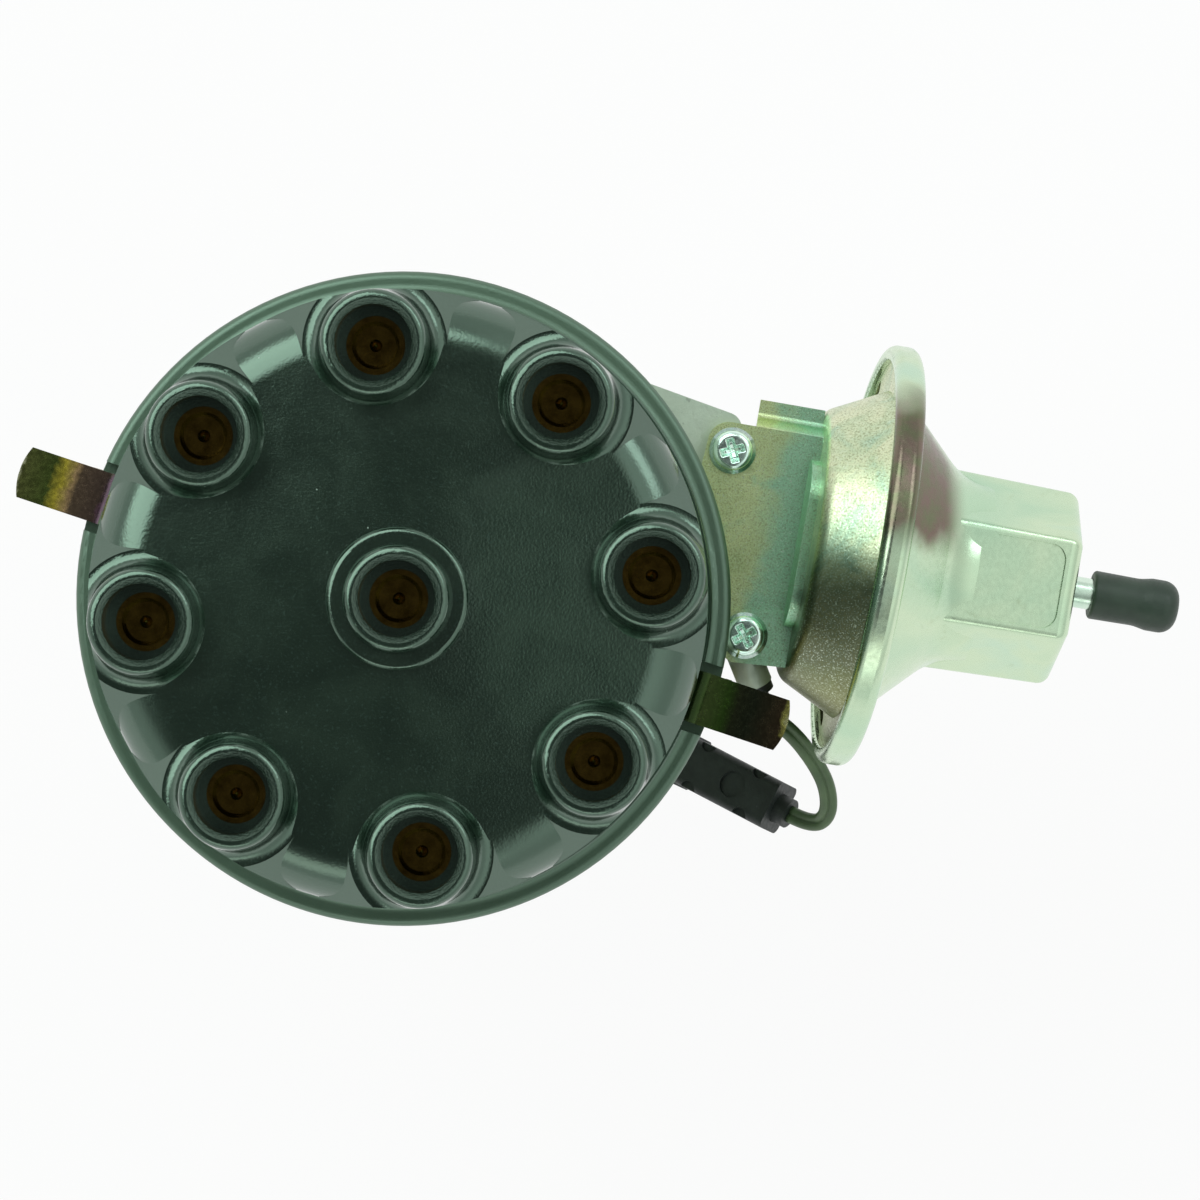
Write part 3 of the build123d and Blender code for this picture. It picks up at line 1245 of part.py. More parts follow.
def lead_route():
    """Points of the lead from the grommet's face to the connector's neck."""
    exit_point = Vector(*STUB_TIP) + stub_direction() * GROMMET_LIP
    neck = connector_place() * Pos(-CONNECTOR_NECK, 0, 0)
    before_neck = neck * Pos(-LEAD_IN, 0, 0)
    return [
        tuple(exit_point),
        tuple(exit_point + stub_direction() * LEAD_OUT),
        *[tuple(Vector(*STUB_TIP) + Vector(*point)) for point in LEAD_POINTS],
        tuple(before_neck.position),
        tuple(neck.position),
    ]


def bend_radii(points):
    radii = []
    for before, point, after in zip(points, points[1:], points[2:]):
        first = Vector(*point) - Vector(*before)
        second = Vector(*after) - Vector(*point)
        half_turn = math.radians(first.get_angle(second) / 2)
        radii.append(0.45 * min(first.length, second.length) / math.tan(half_turn))
    return radii


def pickup_lead():
    points = lead_route()
    radii = bend_radii(points)
    path = FilletPolyline(*points, radius=radii)
    section = Plane(origin=path @ 0, z_dir=path % 0) * Circle(LEAD_D / 2)
    lead = sweep(section, path)
    print("lead bend radii", [round(radius, 1) for radius in radii])
    print("lead length", round(path.length, 1), "volume", round(lead.volume, 1))
    print("section times length", round(math.pi * LEAD_D**2 / 4 * path.length, 1))
    return lead


def connector():
    length, width, height = CONNECTOR
    body = block(0.8, length, -width / 2, width / 2, -height / 2, height / 2)
    body = fillet(body.edges().filter_by(Axis.X), CONNECTOR_CORNER)
    neck = Rot(0, 90, 0) * disc(LEAD_D / 2 + 1, -CONNECTOR_NECK, 0.8)
    top = height / 2
    hollow = disc(2.15, top - 0.5, top + 1, 8.2)
    notches = [
        disc(1.3, top - 0.8, top + 1, x, side * width / 2) for x in (5.0, 15.0) for side in (-1, 1)
    ]
    band = block(length - 4.2, length - 2.4, -width / 2 - 0.3, width / 2 + 0.3, -top - 0.3, top + 0.3)
    band = fillet(band.edges().filter_by(Axis.X), CONNECTOR_CORNER)
    barrel = Rot(0, 90, 0) * disc(1.7, length, length + 4, 0, 1.9)
    socket = Rot(0, 90, 0) * disc(1.75, length - 5, length + 1, 0, -1.9)
    pin_hole = Rot(0, 90, 0) * disc(TERMINAL_R + SEAT_FIT, length - 6, length + 5, 0, 1.9)
    return connector_place() * (body + [neck, barrel, band] - notches - [hollow, socket, pin_hole])


def connector_terminals():
    length = CONNECTOR[0]
    male = Rot(0, 90, 0) * disc(TERMINAL_R, length - 6, length + 4, 0, 1.9)
    female = Rot(0, 90, 0) * tube(1.6, 1.0, length - 4.9, length - 0.5, 0, -1.9)
    return connector_place() * group([male, female])


def make_nodes():
    weight = governor_weight()
    spring = governor_spring()
    left, right = CLIP_ANGLES
    upper_bush_z = BOWL_FLOOR_Z + 0.5 - BUSHING_LENGTH
    in_unit = unit_place()
    return {
        "distributor_cap": distributor_cap(),
        "tower_inserts": tower_inserts(),
        "centre_insert": insert(INSERT_HEAD),
        "carbon_brush": carbon_brush(),
        "brush_spring": brush_spring(),
        "rotor_body": rotor_body(),
        "rotor_blade": rotor_blade(),
        "drive_shaft": drive_shaft(),
        "drive_collar": drive_collar(),
        "collar_pin": collar_pin(),
        "upper_bushing": bushing(upper_bush_z),
        "lower_bushing": bushing(SHANK_END_Z + 1),
        "thrust_washer_upper": thrust_washer(BOWL_FLOOR_Z + 0.5, GOVERNOR_PLATE_Z - END_FLOAT),
        "thrust_washer_lower": thrust_washer(SHANK_END_Z - WASHER, SHANK_END_Z),
        "governor_plate": governor_plate(),
        "governor_weight_a": weight,
        "governor_weight_b": spun(weight, 180),
        "governor_spring_a": spring,
        "governor_spring_b": spun(spring, 180),
        "advance_sleeve": advance_sleeve(),
        "reluctor": reluctor(),
        "reluctor_pin": reluctor_key(0),
        "lower_plate": lower_plate(),
        "lower_plate_screws": lower_plate_screws(),
        "plate_retainer": plate_retainer(),
        "pickup_plate": pickup_plate(),
        "pole_piece": pole_piece(),
        "pickup_coil": pickup_coil(),
        "pickup_magnet": pickup_magnet(),
        "pickup_bracket": pickup_bracket(),
        "pickup_screws": pickup_screws(),
        "vacuum_rear_shell": in_unit * rear_shell(),
        "vacuum_front_shell": in_unit * front_shell(),
        "vacuum_nipple": in_unit * vacuum_nipple(),
        "nipple_cap": in_unit * nipple_cap(),
        "diaphragm": in_unit * tube(RIM_R - SHEET - 0.3, ROD_R + FREE_GAP, -0.3, 0.5),
        "diaphragm_cups": in_unit * diaphragm_cups(),
        "diaphragm_spring": in_unit * diaphragm_spring(),
        "vacuum_link": vacuum_link(),
        "vacuum_bracket": vacuum_bracket(),
        "bracket_screws": bracket_screws(),
        "housing": housing(),
        "shank_seal": shank_seal(),
        "clip_left": spun(clip(), left),
        "clip_right": spun(clip(), right),
        "clip_pins": group([spun(clip_pin(), angle) for angle in CLIP_ANGLES]),
        "clip_brackets": group([spun(clip_bracket(), angle) for angle in CLIP_ANGLES]),
        "clip_rivets": group([spun(rivet, angle) for angle in CLIP_ANGLES for rivet in rivets(0)]),
        "lead_grommet": lead_grommet(),
        "pickup_lead": pickup_lead(),
        "connector": connector(),
        "connector_terminals": connector_terminals(),
    }


os.makedirs("parts", exist_ok=True)
for name, shape in make_nodes().items():
    export_step(shape, f"parts/{name}.step")
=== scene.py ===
import json
import math

import bmesh
import bpy
from mathutils import Matrix, Vector


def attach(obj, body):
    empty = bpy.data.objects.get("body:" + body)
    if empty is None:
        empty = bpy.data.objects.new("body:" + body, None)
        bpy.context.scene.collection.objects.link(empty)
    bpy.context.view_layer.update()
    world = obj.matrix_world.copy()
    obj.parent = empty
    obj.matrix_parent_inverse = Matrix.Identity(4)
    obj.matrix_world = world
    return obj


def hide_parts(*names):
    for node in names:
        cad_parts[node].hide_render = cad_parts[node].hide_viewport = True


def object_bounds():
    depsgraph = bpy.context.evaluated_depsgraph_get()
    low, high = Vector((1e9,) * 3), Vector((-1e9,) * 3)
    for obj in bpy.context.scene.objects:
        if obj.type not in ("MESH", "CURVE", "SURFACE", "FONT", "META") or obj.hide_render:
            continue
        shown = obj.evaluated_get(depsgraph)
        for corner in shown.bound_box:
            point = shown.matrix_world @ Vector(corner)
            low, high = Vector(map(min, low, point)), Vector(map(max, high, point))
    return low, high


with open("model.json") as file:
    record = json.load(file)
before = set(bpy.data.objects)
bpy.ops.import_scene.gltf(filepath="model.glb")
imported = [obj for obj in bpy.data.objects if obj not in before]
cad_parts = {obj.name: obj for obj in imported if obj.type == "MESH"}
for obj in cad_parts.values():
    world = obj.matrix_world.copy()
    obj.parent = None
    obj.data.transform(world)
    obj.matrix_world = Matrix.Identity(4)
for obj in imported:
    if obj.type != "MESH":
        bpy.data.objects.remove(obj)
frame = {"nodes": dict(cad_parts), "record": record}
cad_box = [list(corner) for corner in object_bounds()]
nodes = frame["nodes"]
scene = bpy.context.scene

# Frame units are metres. Finishes and screws are given in millimetres.
MM_PER_M = 1000.0

# Camera: straight down on the cap, as far off as the photograph's perspective says
CAMERA_AT = (0.0300, -0.0002, 1.343)
CAMERA_LENS = 248.5
CAMERA_SENSOR = 36.0
CAMERA_NEAR = 0.05
CAMERA_FAR = 20.0

# Lead: the route's points in metres, from the grommet's face to the connector's neck
LEAD_ROUTE = (
    (0.054793, -0.014420, 0.045521),
    (0.056377, -0.018341, 0.043982),
    (0.060200, -0.021000, 0.041800),
    (0.063900, -0.025700, 0.039000),
    (0.066000, -0.029900, 0.036200),
    (0.066200, -0.034300, 0.033000),
    (0.063676, -0.036003, 0.029651),
    (0.060129, -0.034180, 0.027792),
)
LEAD_D = 0.0028
# Steps along each stretch of the route, and points round the lead
ROUTE_STEPS = 12
LEAD_SIDES = 32
# Radius of each of the lead's two wires, as a share of the lead's width
WIRE_SHARE = 0.27

# The bracket's screws: x and y in metres, and how far round each cross is turned in degrees
SCREW_PLACES = ((0.0505, 0.0229, 14.0), (0.0523, -0.0057, 27.0))
# How far from its place a vertex of the CAD screw may be, in metres
SCREW_REACH = 0.004
# One screw's head in millimetres: its radius, its height with the washer, the rounding of its
# rim, how far its crown falls to the rim, and the washer's thickness and radius
SCREW_R = 3.1
SCREW_HEIGHT = 2.2
SCREW_ROUND = 0.95
SCREW_CROWN = 0.12
SCREW_WASHER = 0.5
WASHER_R = 3.6
# Points round the screw's axis, and rings from the axis to the rim
SCREW_SIDES = 96
SCREW_RINGS = 34
# Its cross recess: half the width and the reach of an arm, the width of the slopes along the
# arm's sides and at its end, and the depth
RECESS_HALF = 0.62
RECESS_REACH = 1.95
RECESS_SIDE = 0.34
RECESS_END = 2 * RECESS_SIDE
RECESS_DEPTH = 0.95
# The middle of the recess goes down to a point: its radius, and how much deeper it is
RECESS_POINT_R = 1.0
RECESS_POINT_DEPTH = 0.5

# Floor and room
FLOOR_Z = cad_box[0][2]
FLOOR_HALF = 3.0
FLOOR_COLOUR = (0.80, 0.80, 0.79)
FLOOR_WHITE = 0.90
WHITE = (1.0, 1.0, 1.0)
# The room is bright near the horizon and to the right, and dim overhead. HORIZON and ZENITH are
# the heights of a direction between which it goes from ROOM_LOW to ROOM_HIGH.
ROOM_COLOUR = (0.94, 1.0, 0.97)
HORIZON = 0.38
ZENITH = 0.93
ROOM_LOW = 0.72
ROOM_HIGH = 0.08
SIDE_FROM = 0.06
SIDE_TO = 0.34
ROOM_SIDE = 0.95
# Height of a direction up to which metal shows the white backdrop
MIRRORED_TO = 0.15
# The lamps face this point, in the middle of the object
LAMP_AIM = (0.03, 0.0, 0.09)
LAMPS = {
    "key_left": dict(
        turn=132, lean=41, away=1.45, size=(1.8, 1.15), radiance=2.5, colour=(0.90, 1.0, 0.97)
    ),
    "key_right": dict(
        turn=40, lean=54, away=1.35, size=(0.75, 0.45), radiance=2.2, colour=(0.90, 0.98, 1.0)
    ),
    "fill_front": dict(
        turn=-100, lean=58, away=1.30, size=(1.0, 0.45), radiance=0.9, colour=(0.97, 1.0, 0.94)
    ),
}

# Nearly all of a noise lies in this range
NOISE_LOW = 0.3
NOISE_HIGH = 0.7

# Where a finish changes, in millimetres: the place where the new tint starts, then where it is full
FLANGE_Z = (79.6, 79.2)
# Painted dark reflection: a brown patch on the upper side of the cone
DARK_REFLECTION_LOWER_Y = (5.0, 11.0)
DARK_REFLECTION_UPPER_Y = (36.0, 27.0)
DARK_REFLECTION_NOSE_X = (87.0, 83.0)
DARK_REFLECTION_SIDE_Z = (56.0, 64.0)
# Painted shade and a painted olive reflection on the drum's lower side, towards -Y
DRUM_SHADE_Y = (9.0, 0.0)
DRUM_OLIVE_REFLECTION_Y = (-8.0, -18.0)
# Painted teal shade on the bracket where it bends towards the drum
BRACKET_SHADE_X = (50.0, 56.0)
STRAP_YELLOW_Z = (79.0, 70.0)

# Clip straps: the radius at which they end, and how far in from there the tints go, in millimetres
STRAP_END = 61.6
STRAP_LENGTH = 14.5
# Tints along the straps, from the free end at 0 to the cap at 1
LEFT_TINTS = [
    (0.00, (0.90, 0.90, 0.55)),
    (0.025, (0.20, 0.22, 0.07)),
    (0.34, (0.13, 0.18, 0.045)),
    (0.45, (0.95, 0.78, 0.10)),
    (0.57, (0.85, 0.56, 0.28)),
    (0.64, (0.26, 0.18, 0.12)),
    (0.90, (0.24, 0.16, 0.13)),
    (0.96, (0.50, 0.24, 0.40)),
    (1.00, (0.26, 0.48, 0.12)),
]
RIGHT_TINTS = [
    (0.00, (0.95, 0.92, 0.45)),
    (0.03, (0.80, 0.74, 0.20)),
    (0.06, (0.10, 0.07, 0.04)),
    (0.40, (0.05, 0.06, 0.035)),
    (0.56, (0.07, 0.08, 0.04)),
    (0.66, (0.10, 0.20, 0.04)),
    (0.90, (0.20, 0.28, 0.09)),
    (1.00, (0.30, 0.34, 0.16)),
]

# Plain metals and plain plastics, by material slot. Grain and depth are in millimetres.
METALS = {
    "sintered_bronze": dict(
        dark=(0.30, 0.20, 0.10), light=(0.46, 0.33, 0.18), rough=0.45, grain=0.3, depth=0.03
    ),
    "weight_steel": dict(
        dark=(0.28, 0.28, 0.25), light=(0.42, 0.41, 0.37), rough=0.42, grain=0.8, depth=0.02
    ),
    "spring_steel": dict(dark=(0.24, 0.25, 0.25), light=(0.36, 0.37, 0.37), rough=0.32, grain=0.5),
    "reluctor_iron": dict(
        dark=(0.22, 0.22, 0.21), light=(0.36, 0.36, 0.34), rough=0.48, grain=0.4, depth=0.03
    ),
    "plate_steel": dict(dark=(0.44, 0.44, 0.32), light=(0.60, 0.58, 0.44), rough=0.34),
    "magnet": dict(dark=(0.14, 0.14, 0.145), light=(0.22, 0.22, 0.23), rough=0.40),
    "screw_zinc": dict(
        dark=(0.56, 0.84, 0.72), light=(0.84, 0.98, 0.90), rough=0.20, grain=0.5, depth=0.006
    ),
    "nipple_steel": dict(dark=(0.60, 0.78, 0.64), light=(0.80, 0.92, 0.80), rough=0.22),
    "yellow_zinc": dict(dark=(0.42, 0.34, 0.12), light=(0.58, 0.50, 0.24), rough=0.28),
}
PLASTICS = {
    "carbon": dict(dark=(0.02, 0.02, 0.02), light=(0.04, 0.04, 0.04), rough=0.50),
    "rotor_plastic": dict(dark=(0.10, 0.035, 0.018), light=(0.17, 0.06, 0.03), rough=0.38),
    "seal_rubber": dict(dark=(0.010, 0.013, 0.014), light=(0.022, 0.026, 0.028), rough=0.42),
    "diaphragm_rubber": dict(dark=(0.02, 0.018, 0.016), light=(0.04, 0.035, 0.03), rough=0.60),
    "lead_rubber": dict(dark=(0.066, 0.110, 0.050), light=(0.105, 0.170, 0.075), rough=0.40),
    "connector_plastic": dict(
        dark=(0.010, 0.015, 0.013), light=(0.022, 0.030, 0.027), rough=0.48, grain=0.7, depth=0.05
    ),
}


def is_socket(value):
    """True for a node's output, false for a number or a colour."""
    return hasattr(value, "links")


class Tree:
    """Short calls for the nodes of a material or a world."""

    def __init__(self, owner, output):
        owner.use_nodes = True
        self.nodes = owner.node_tree.nodes
        self.links = owner.node_tree.links
        self.nodes.clear()
        self.output = self.nodes.new(output)

    def link(self, source, target):
        self.links.new(source, target)

    def put(self, value, socket):
        if is_socket(value):
            self.link(value, socket)
        else:
            socket.default_value = value

    def put_colour(self, colour, socket):
        self.put(colour if is_socket(colour) else (*colour, 1.0), socket)

    def math(self, operation, first, second=0.0):
        node = self.nodes.new("ShaderNodeMath")
        node.operation = operation
        for value, socket in zip((first, second), node.inputs):
            self.put(value, socket)
        return node.outputs[0]

    def add(self, first, second):
        return self.math("ADD", first, second)

    def subtract(self, first, second):
        return self.math("SUBTRACT", first, second)

    def multiply(self, first, second):
        return self.math("MULTIPLY", first, second)

    def span(self, value, low, high, to_low=0.0, to_high=1.0):
        """Value from low..high mapped smoothly to to_low..to_high."""
        node = self.nodes.new("ShaderNodeMapRange")
        node.interpolation_type = "SMOOTHSTEP"
        for number, socket in zip((value, low, high, to_low, to_high), node.inputs):
            self.put(number, socket)
        return node.outputs[0]

    def split(self, vector):
        node = self.nodes.new("ShaderNodeSeparateXYZ")
        self.link(vector, node.inputs[0])
        return node.outputs

    def shader(self, kind, colour):
        node = self.nodes.new(kind)
        node.inputs["Color"].default_value = (*colour, 1.0)
        return node

    def mix_to_output(self, share, first, second):
        """First shader, with a share of the second over it, as the result of the tree."""
        node = self.nodes.new("ShaderNodeMixShader")
        self.link(share, node.inputs[0])
        self.link(first.outputs[0], node.inputs[1])
        self.link(second.outputs[0], node.inputs[2])
        self.link(node.outputs[0], self.output.inputs[0])


class Paint(Tree):
    """A material on one shader. Coordinates are the object's own, in millimetres."""

    def __init__(self, name):
        self.material = bpy.data.materials.new(name)
        super().__init__(self.material, "ShaderNodeOutputMaterial")
        self.bsdf = self.nodes.new("ShaderNodeBsdfPrincipled")
        self.link(self.bsdf.outputs[0], self.output.inputs[0])
        coordinates = self.nodes.new("ShaderNodeTexCoord")
        scale = self.nodes.new("ShaderNodeVectorMath")
        scale.operation = "SCALE"
        scale.inputs["Scale"].default_value = MM_PER_M
        self.link(coordinates.outputs["Object"], scale.inputs[0])
        self.point = scale.outputs[0]
        self.x, self.y, self.z = self.split(self.point)

    def noise(self, grain, detail=3.0, rough=0.55, warp=0.0, point=None):
        """Cloudy noise from 0 to 1 whose blobs are about grain millimetres."""
        node = self.nodes.new("ShaderNodeTexNoise")
        node.inputs["Scale"].default_value = 1.0 / grain
        node.inputs["Detail"].default_value = detail
        node.inputs["Roughness"].default_value = rough
        node.inputs["Distortion"].default_value = warp
        self.link(point or self.point, node.inputs["Vector"])
        return node.outputs[0]

    def cover(self, value, start, full, share=1.0):
        """How much a tint covers: nothing at start, and that share from full on."""
        return self.span(value, start, full, 0.0, share)

    def drift(self, noise, reach):
        """Millimetres by which a noise moves the edge of a patch, either way."""
        return self.multiply(self.subtract(noise, 0.5), reach)

    def levels(self, noise, low, high):
        """Number from low to high over the range of a noise."""
        return self.span(noise, NOISE_LOW, NOISE_HIGH, low, high)

    def ramp(self, value, stops):
        node = self.nodes.new("ShaderNodeValToRGB")
        elements = node.color_ramp.elements
        while len(elements) < len(stops):
            elements.new(0.5)
        for element, (place, colour) in zip(elements, stops):
            element.position = place
            element.color = (*colour, 1.0)
        self.put(value, node.inputs[0])
        return node.outputs[0]

    def shades(self, noise, dark, light):
        """Colour from dark to light over the range of a noise."""
        return self.ramp(noise, [(NOISE_LOW, dark), (NOISE_HIGH, light)])

    def mix(self, share, first, second):
        """First colour, with a share of the second over it."""
        node = self.nodes.new("ShaderNodeMix")
        node.data_type = "RGBA"
        self.put(share, node.inputs[0])
        self.put_colour(first, node.inputs[6])
        self.put_colour(second, node.inputs[7])
        return node.outputs[2]

    def bump(self, height, depth):
        """Bump whose height of 1 stands depth millimetres proud."""
        node = self.nodes.new("ShaderNodeBump")
        node.inputs["Distance"].default_value = depth / MM_PER_M
        self.put(height, node.inputs["Height"])
        self.link(node.outputs[0], self.bsdf.inputs["Normal"])

    def radius(self):
        """Distance from the shaft's axis."""
        square = self.add(self.multiply(self.x, self.x), self.multiply(self.y, self.y))
        return self.math("SQRT", square)

    def specks(self, grain, size):
        """1 inside small scattered dots, one in some of the cells."""
        cell = self.nodes.new("ShaderNodeTexVoronoi")
        cell.inputs["Scale"].default_value = 1.0 / grain
        self.link(self.point, cell.inputs["Vector"])
        dot = self.span(cell.outputs["Distance"], size, 0.0)
        pick = self.nodes.new("ShaderNodeSeparateColor")
        self.link(cell.outputs["Color"], pick.inputs[0])
        chosen = self.span(pick.outputs[0], 0.78, 0.82)
        return self.multiply(dot, chosen)

    def finish(self, colour, rough, metallic=0.0):
        self.put_colour(colour, self.bsdf.inputs["Base Color"])
        self.put(rough, self.bsdf.inputs["Roughness"])
        self.bsdf.inputs["Metallic"].default_value = metallic
        return self.material


def cap_plastic():
    """Green-black moulding with a glossy skin, duller on the skirt flange."""
    paint = Paint("cap_plastic")
    flange = paint.cover(paint.z, *FLANGE_Z)
    cloud = paint.noise(11.0, 4.0, 0.6, warp=0.6)
    colour = paint.shades(cloud, (0.004, 0.009, 0.006), (0.008, 0.016, 0.010))
    colour = paint.mix(flange, colour, (0.022, 0.046, 0.022))
    fleck = paint.cover(paint.noise(0.38, 1.0, 0.5), 0.60, 0.72, share=0.35)
    colour = paint.mix(fleck, colour, (0.036, 0.064, 0.054))
    dust = paint.specks(4.0, 0.045)
    colour = paint.mix(dust, colour, (0.30, 0.38, 0.33))
    rough = paint.add(paint.levels(cloud, 0.13, 0.19), paint.multiply(flange, 0.24))
    rough = paint.add(rough, paint.multiply(dust, 0.4))
    paint.bump(paint.noise(0.36, 2.0, 0.6), 0.028)
    paint.bsdf.inputs["Specular Tint"].default_value = (0.70, 1.0, 0.80, 1.0)
    paint.bsdf.inputs["Specular IOR Level"].default_value = 1.0
    paint.bsdf.inputs["IOR"].default_value = 1.75
    return paint.finish(colour, rough)


def metal(name, dark, light, rough, grain=1.2, depth=0.01):
    """Plain metal with a cloudy tint and a fine grain."""
    paint = Paint(name)
    colour = paint.shades(paint.noise(6.0, 4.0, 0.6, warp=0.4), dark, light)
    fine = paint.noise(grain, 3.0, 0.65)
    paint.bump(fine, depth)
    return paint.finish(colour, paint.levels(fine, rough - 0.06, rough + 0.06), 1.0)


def shaft_steel():
    """Steel turned about the shaft's axis, with fine rings."""
    paint = Paint("shaft_steel")
    join = paint.nodes.new("ShaderNodeCombineXYZ")
    paint.link(paint.radius(), join.inputs[0])
    paint.link(paint.z, join.inputs[2])
    ring = paint.noise(0.25, 2.0, 0.5, point=join.outputs[0])
    paint.bump(ring, 0.008)
    colour = paint.shades(ring, (0.26, 0.27, 0.26), (0.44, 0.45, 0.43))
    return paint.finish(colour, paint.levels(ring, 0.23, 0.36), 1.0)


def painted_dark_reflection(paint, cloud):
    """Share of the painted dark reflection, a brown patch on the upper side of the cone, with a cloudy
    edge.
    """
    across = paint.add(paint.y, paint.drift(cloud, 14.0))
    share = paint.cover(across, *DARK_REFLECTION_LOWER_Y)
    share = paint.multiply(share, paint.cover(across, *DARK_REFLECTION_UPPER_Y))
    share = paint.multiply(share, paint.cover(paint.x, *DARK_REFLECTION_NOSE_X))
    return paint.multiply(share, paint.cover(paint.z, *DARK_REFLECTION_SIDE_Z, share=0.92))


def canister_zinc():
    """Bright plating with a mint cast, stains, freckles, and a painted dark brown reflection on the
    cone's upper side.
    """
    paint = Paint("canister_zinc")
    cloud = paint.noise(16.0, 3.0, 0.5, warp=0.5)
    mint = [(0.25, (0.49, 0.69, 0.50)), (0.55, (0.63, 0.77, 0.55)), (0.8, (0.53, 0.74, 0.60))]
    colour = paint.ramp(cloud, mint)
    stain = paint.cover(paint.noise(6.0, 5.0, 0.7, warp=1.2), 0.58, 0.78, share=0.4)
    colour = paint.mix(stain, colour, (0.40, 0.46, 0.27))
    freckle = paint.cover(paint.noise(0.45, 2.0, 0.6), 0.66, 0.78, share=0.22)
    colour = paint.mix(freckle, colour, (0.34, 0.42, 0.30))
    # Colour of the painted dark reflection on the cone's upper side
    brown = [(0.35, (0.13, 0.13, 0.07)), (0.65, (0.17, 0.10, 0.09))]
    brown = paint.ramp(paint.noise(3.0, 3.0, 0.6), brown)
    colour = paint.mix(painted_dark_reflection(paint, cloud), colour, brown)
    fine = paint.noise(0.8, 3.0, 0.6)
    rough = paint.add(paint.levels(fine, 0.20, 0.30), paint.multiply(stain, 0.25))
    paint.bump(fine, 0.008)
    return paint.finish(colour, rough, 1.0)


def grained_zinc(paint, colour, size):
    """Matt plating full of brown and pale grains of that size."""
    grain = paint.noise(size, 3.0, 0.7)
    brown = paint.cover(grain, 0.50, 0.64, share=0.62)
    colour = paint.mix(brown, colour, (0.22, 0.22, 0.10))
    pale = paint.cover(grain, 0.46, 0.34, share=0.55)
    colour = paint.mix(pale, colour, (0.82, 0.92, 0.74))
    paint.bump(grain, 0.035)
    return paint.finish(colour, paint.levels(grain, 0.26, 0.42), 1.0)


def drum_zinc():
    """Grained plating of the drum, cream to green, with painted shade and then a painted olive
    reflection towards -Y.
    """
    paint = Paint("drum_zinc")
    cloud = paint.noise(9.0, 4.0, 0.6, warp=0.8)
    stops = [
        (0.28, (0.36, 0.58, 0.44)),
        (0.45, (0.60, 0.70, 0.46)),
        (0.60, (0.76, 0.80, 0.54)),
        (0.78, (0.50, 0.64, 0.44)),
    ]
    colour = paint.ramp(cloud, stops)
    height = paint.add(paint.y, paint.drift(cloud, 10.0))
    # Painted shade on the drum's lower side, then a painted olive reflection at its lower edge
    painted_shade_side = paint.cover(height, *DRUM_SHADE_Y, share=0.86)
    colour = paint.mix(painted_shade_side, colour, (0.060, 0.080, 0.045))
    painted_olive_reflection = paint.cover(height, *DRUM_OLIVE_REFLECTION_Y, share=0.8)
    colour = paint.mix(painted_olive_reflection, colour, (0.30, 0.32, 0.13))
    return grained_zinc(paint, colour, 0.30)


def bracket_zinc():
    """Grained olive plating of the bracket, with painted teal shade where it bends towards the drum.
    """
    paint = Paint("bracket_zinc")
    cloud = paint.noise(7.0, 4.0, 0.6, warp=0.8)
    olive = [(0.3, (0.52, 0.64, 0.32)), (0.55, (0.64, 0.74, 0.38)), (0.75, (0.48, 0.66, 0.36))]
    colour = paint.ramp(cloud, olive)
    # Painted teal shade along the bend towards the drum
    slant = paint.subtract(paint.x, paint.multiply(paint.y, 0.20))
    slant = paint.add(slant, paint.drift(cloud, 12.0))
    painted_teal_shade = paint.cover(slant, *BRACKET_SHADE_X, share=0.8)
    colour = paint.mix(painted_teal_shade, colour, (0.29, 0.62, 0.45))
    return grained_zinc(paint, colour, 0.24)


def strap_zinc(name, tints):
    """Iridescent plating whose tint drifts along a clip's strap, plain yellow below the cap."""
    paint = Paint(name)
    along = paint.subtract(STRAP_END, paint.radius())
    along = paint.add(along, paint.drift(paint.noise(4.0, 3.0, 0.6, warp=0.8), 3.0))
    colour = paint.ramp(paint.math("DIVIDE", along, STRAP_LENGTH), tints)
    low = paint.cover(paint.z, *STRAP_YELLOW_Z, share=0.7)
    colour = paint.mix(low, colour, (0.50, 0.42, 0.16))
    scratch = paint.cover(paint.noise(2.2, 4.0, 0.6, warp=2.0), 0.66, 0.74, share=0.14)
    colour = paint.mix(scratch, colour, (0.62, 0.56, 0.36))
    fine = paint.noise(0.6, 3.0, 0.6)
    paint.bump(fine, 0.003)
    return paint.finish(colour, paint.levels(fine, 0.20, 0.28), 1.0)


def cast_aluminium():
    """Dull casting with a coarse skin and small dark pits."""
    paint = Paint("cast_aluminium")
    colour = paint.shades(paint.noise(11.0, 4.0, 0.6), (0.42, 0.49, 0.41), (0.54, 0.62, 0.51))
    pits = paint.cover(paint.noise(0.9, 2.0, 0.5), 0.66, 0.76, share=0.5)
    colour = paint.mix(pits, colour, (0.20, 0.23, 0.19))
    grain = paint.noise(0.7, 4.0, 0.7)
    paint.bump(grain, 0.06)
    return paint.finish(colour, paint.levels(grain, 0.42, 0.62), 0.75)


def soft_plastic(name, dark, light, rough, grain=0.5, depth=0.02):
    """Moulded plastic or rubber with a fine texture and a little dust."""
    paint = Paint(name)
    colour = paint.shades(paint.noise(4.0, 4.0, 0.6), dark, light)
    dust = paint.specks(2.5, 0.05)
    pale = tuple(min(1.0, 3 * channel + 0.05) for channel in light)
    colour = paint.mix(paint.multiply(dust, 0.5), colour, pale)
    fine = paint.noise(grain, 3.0, 0.6)
    paint.bump(fine, depth)
    return paint.finish(colour, paint.levels(fine, rough - 0.06, rough + 0.08))


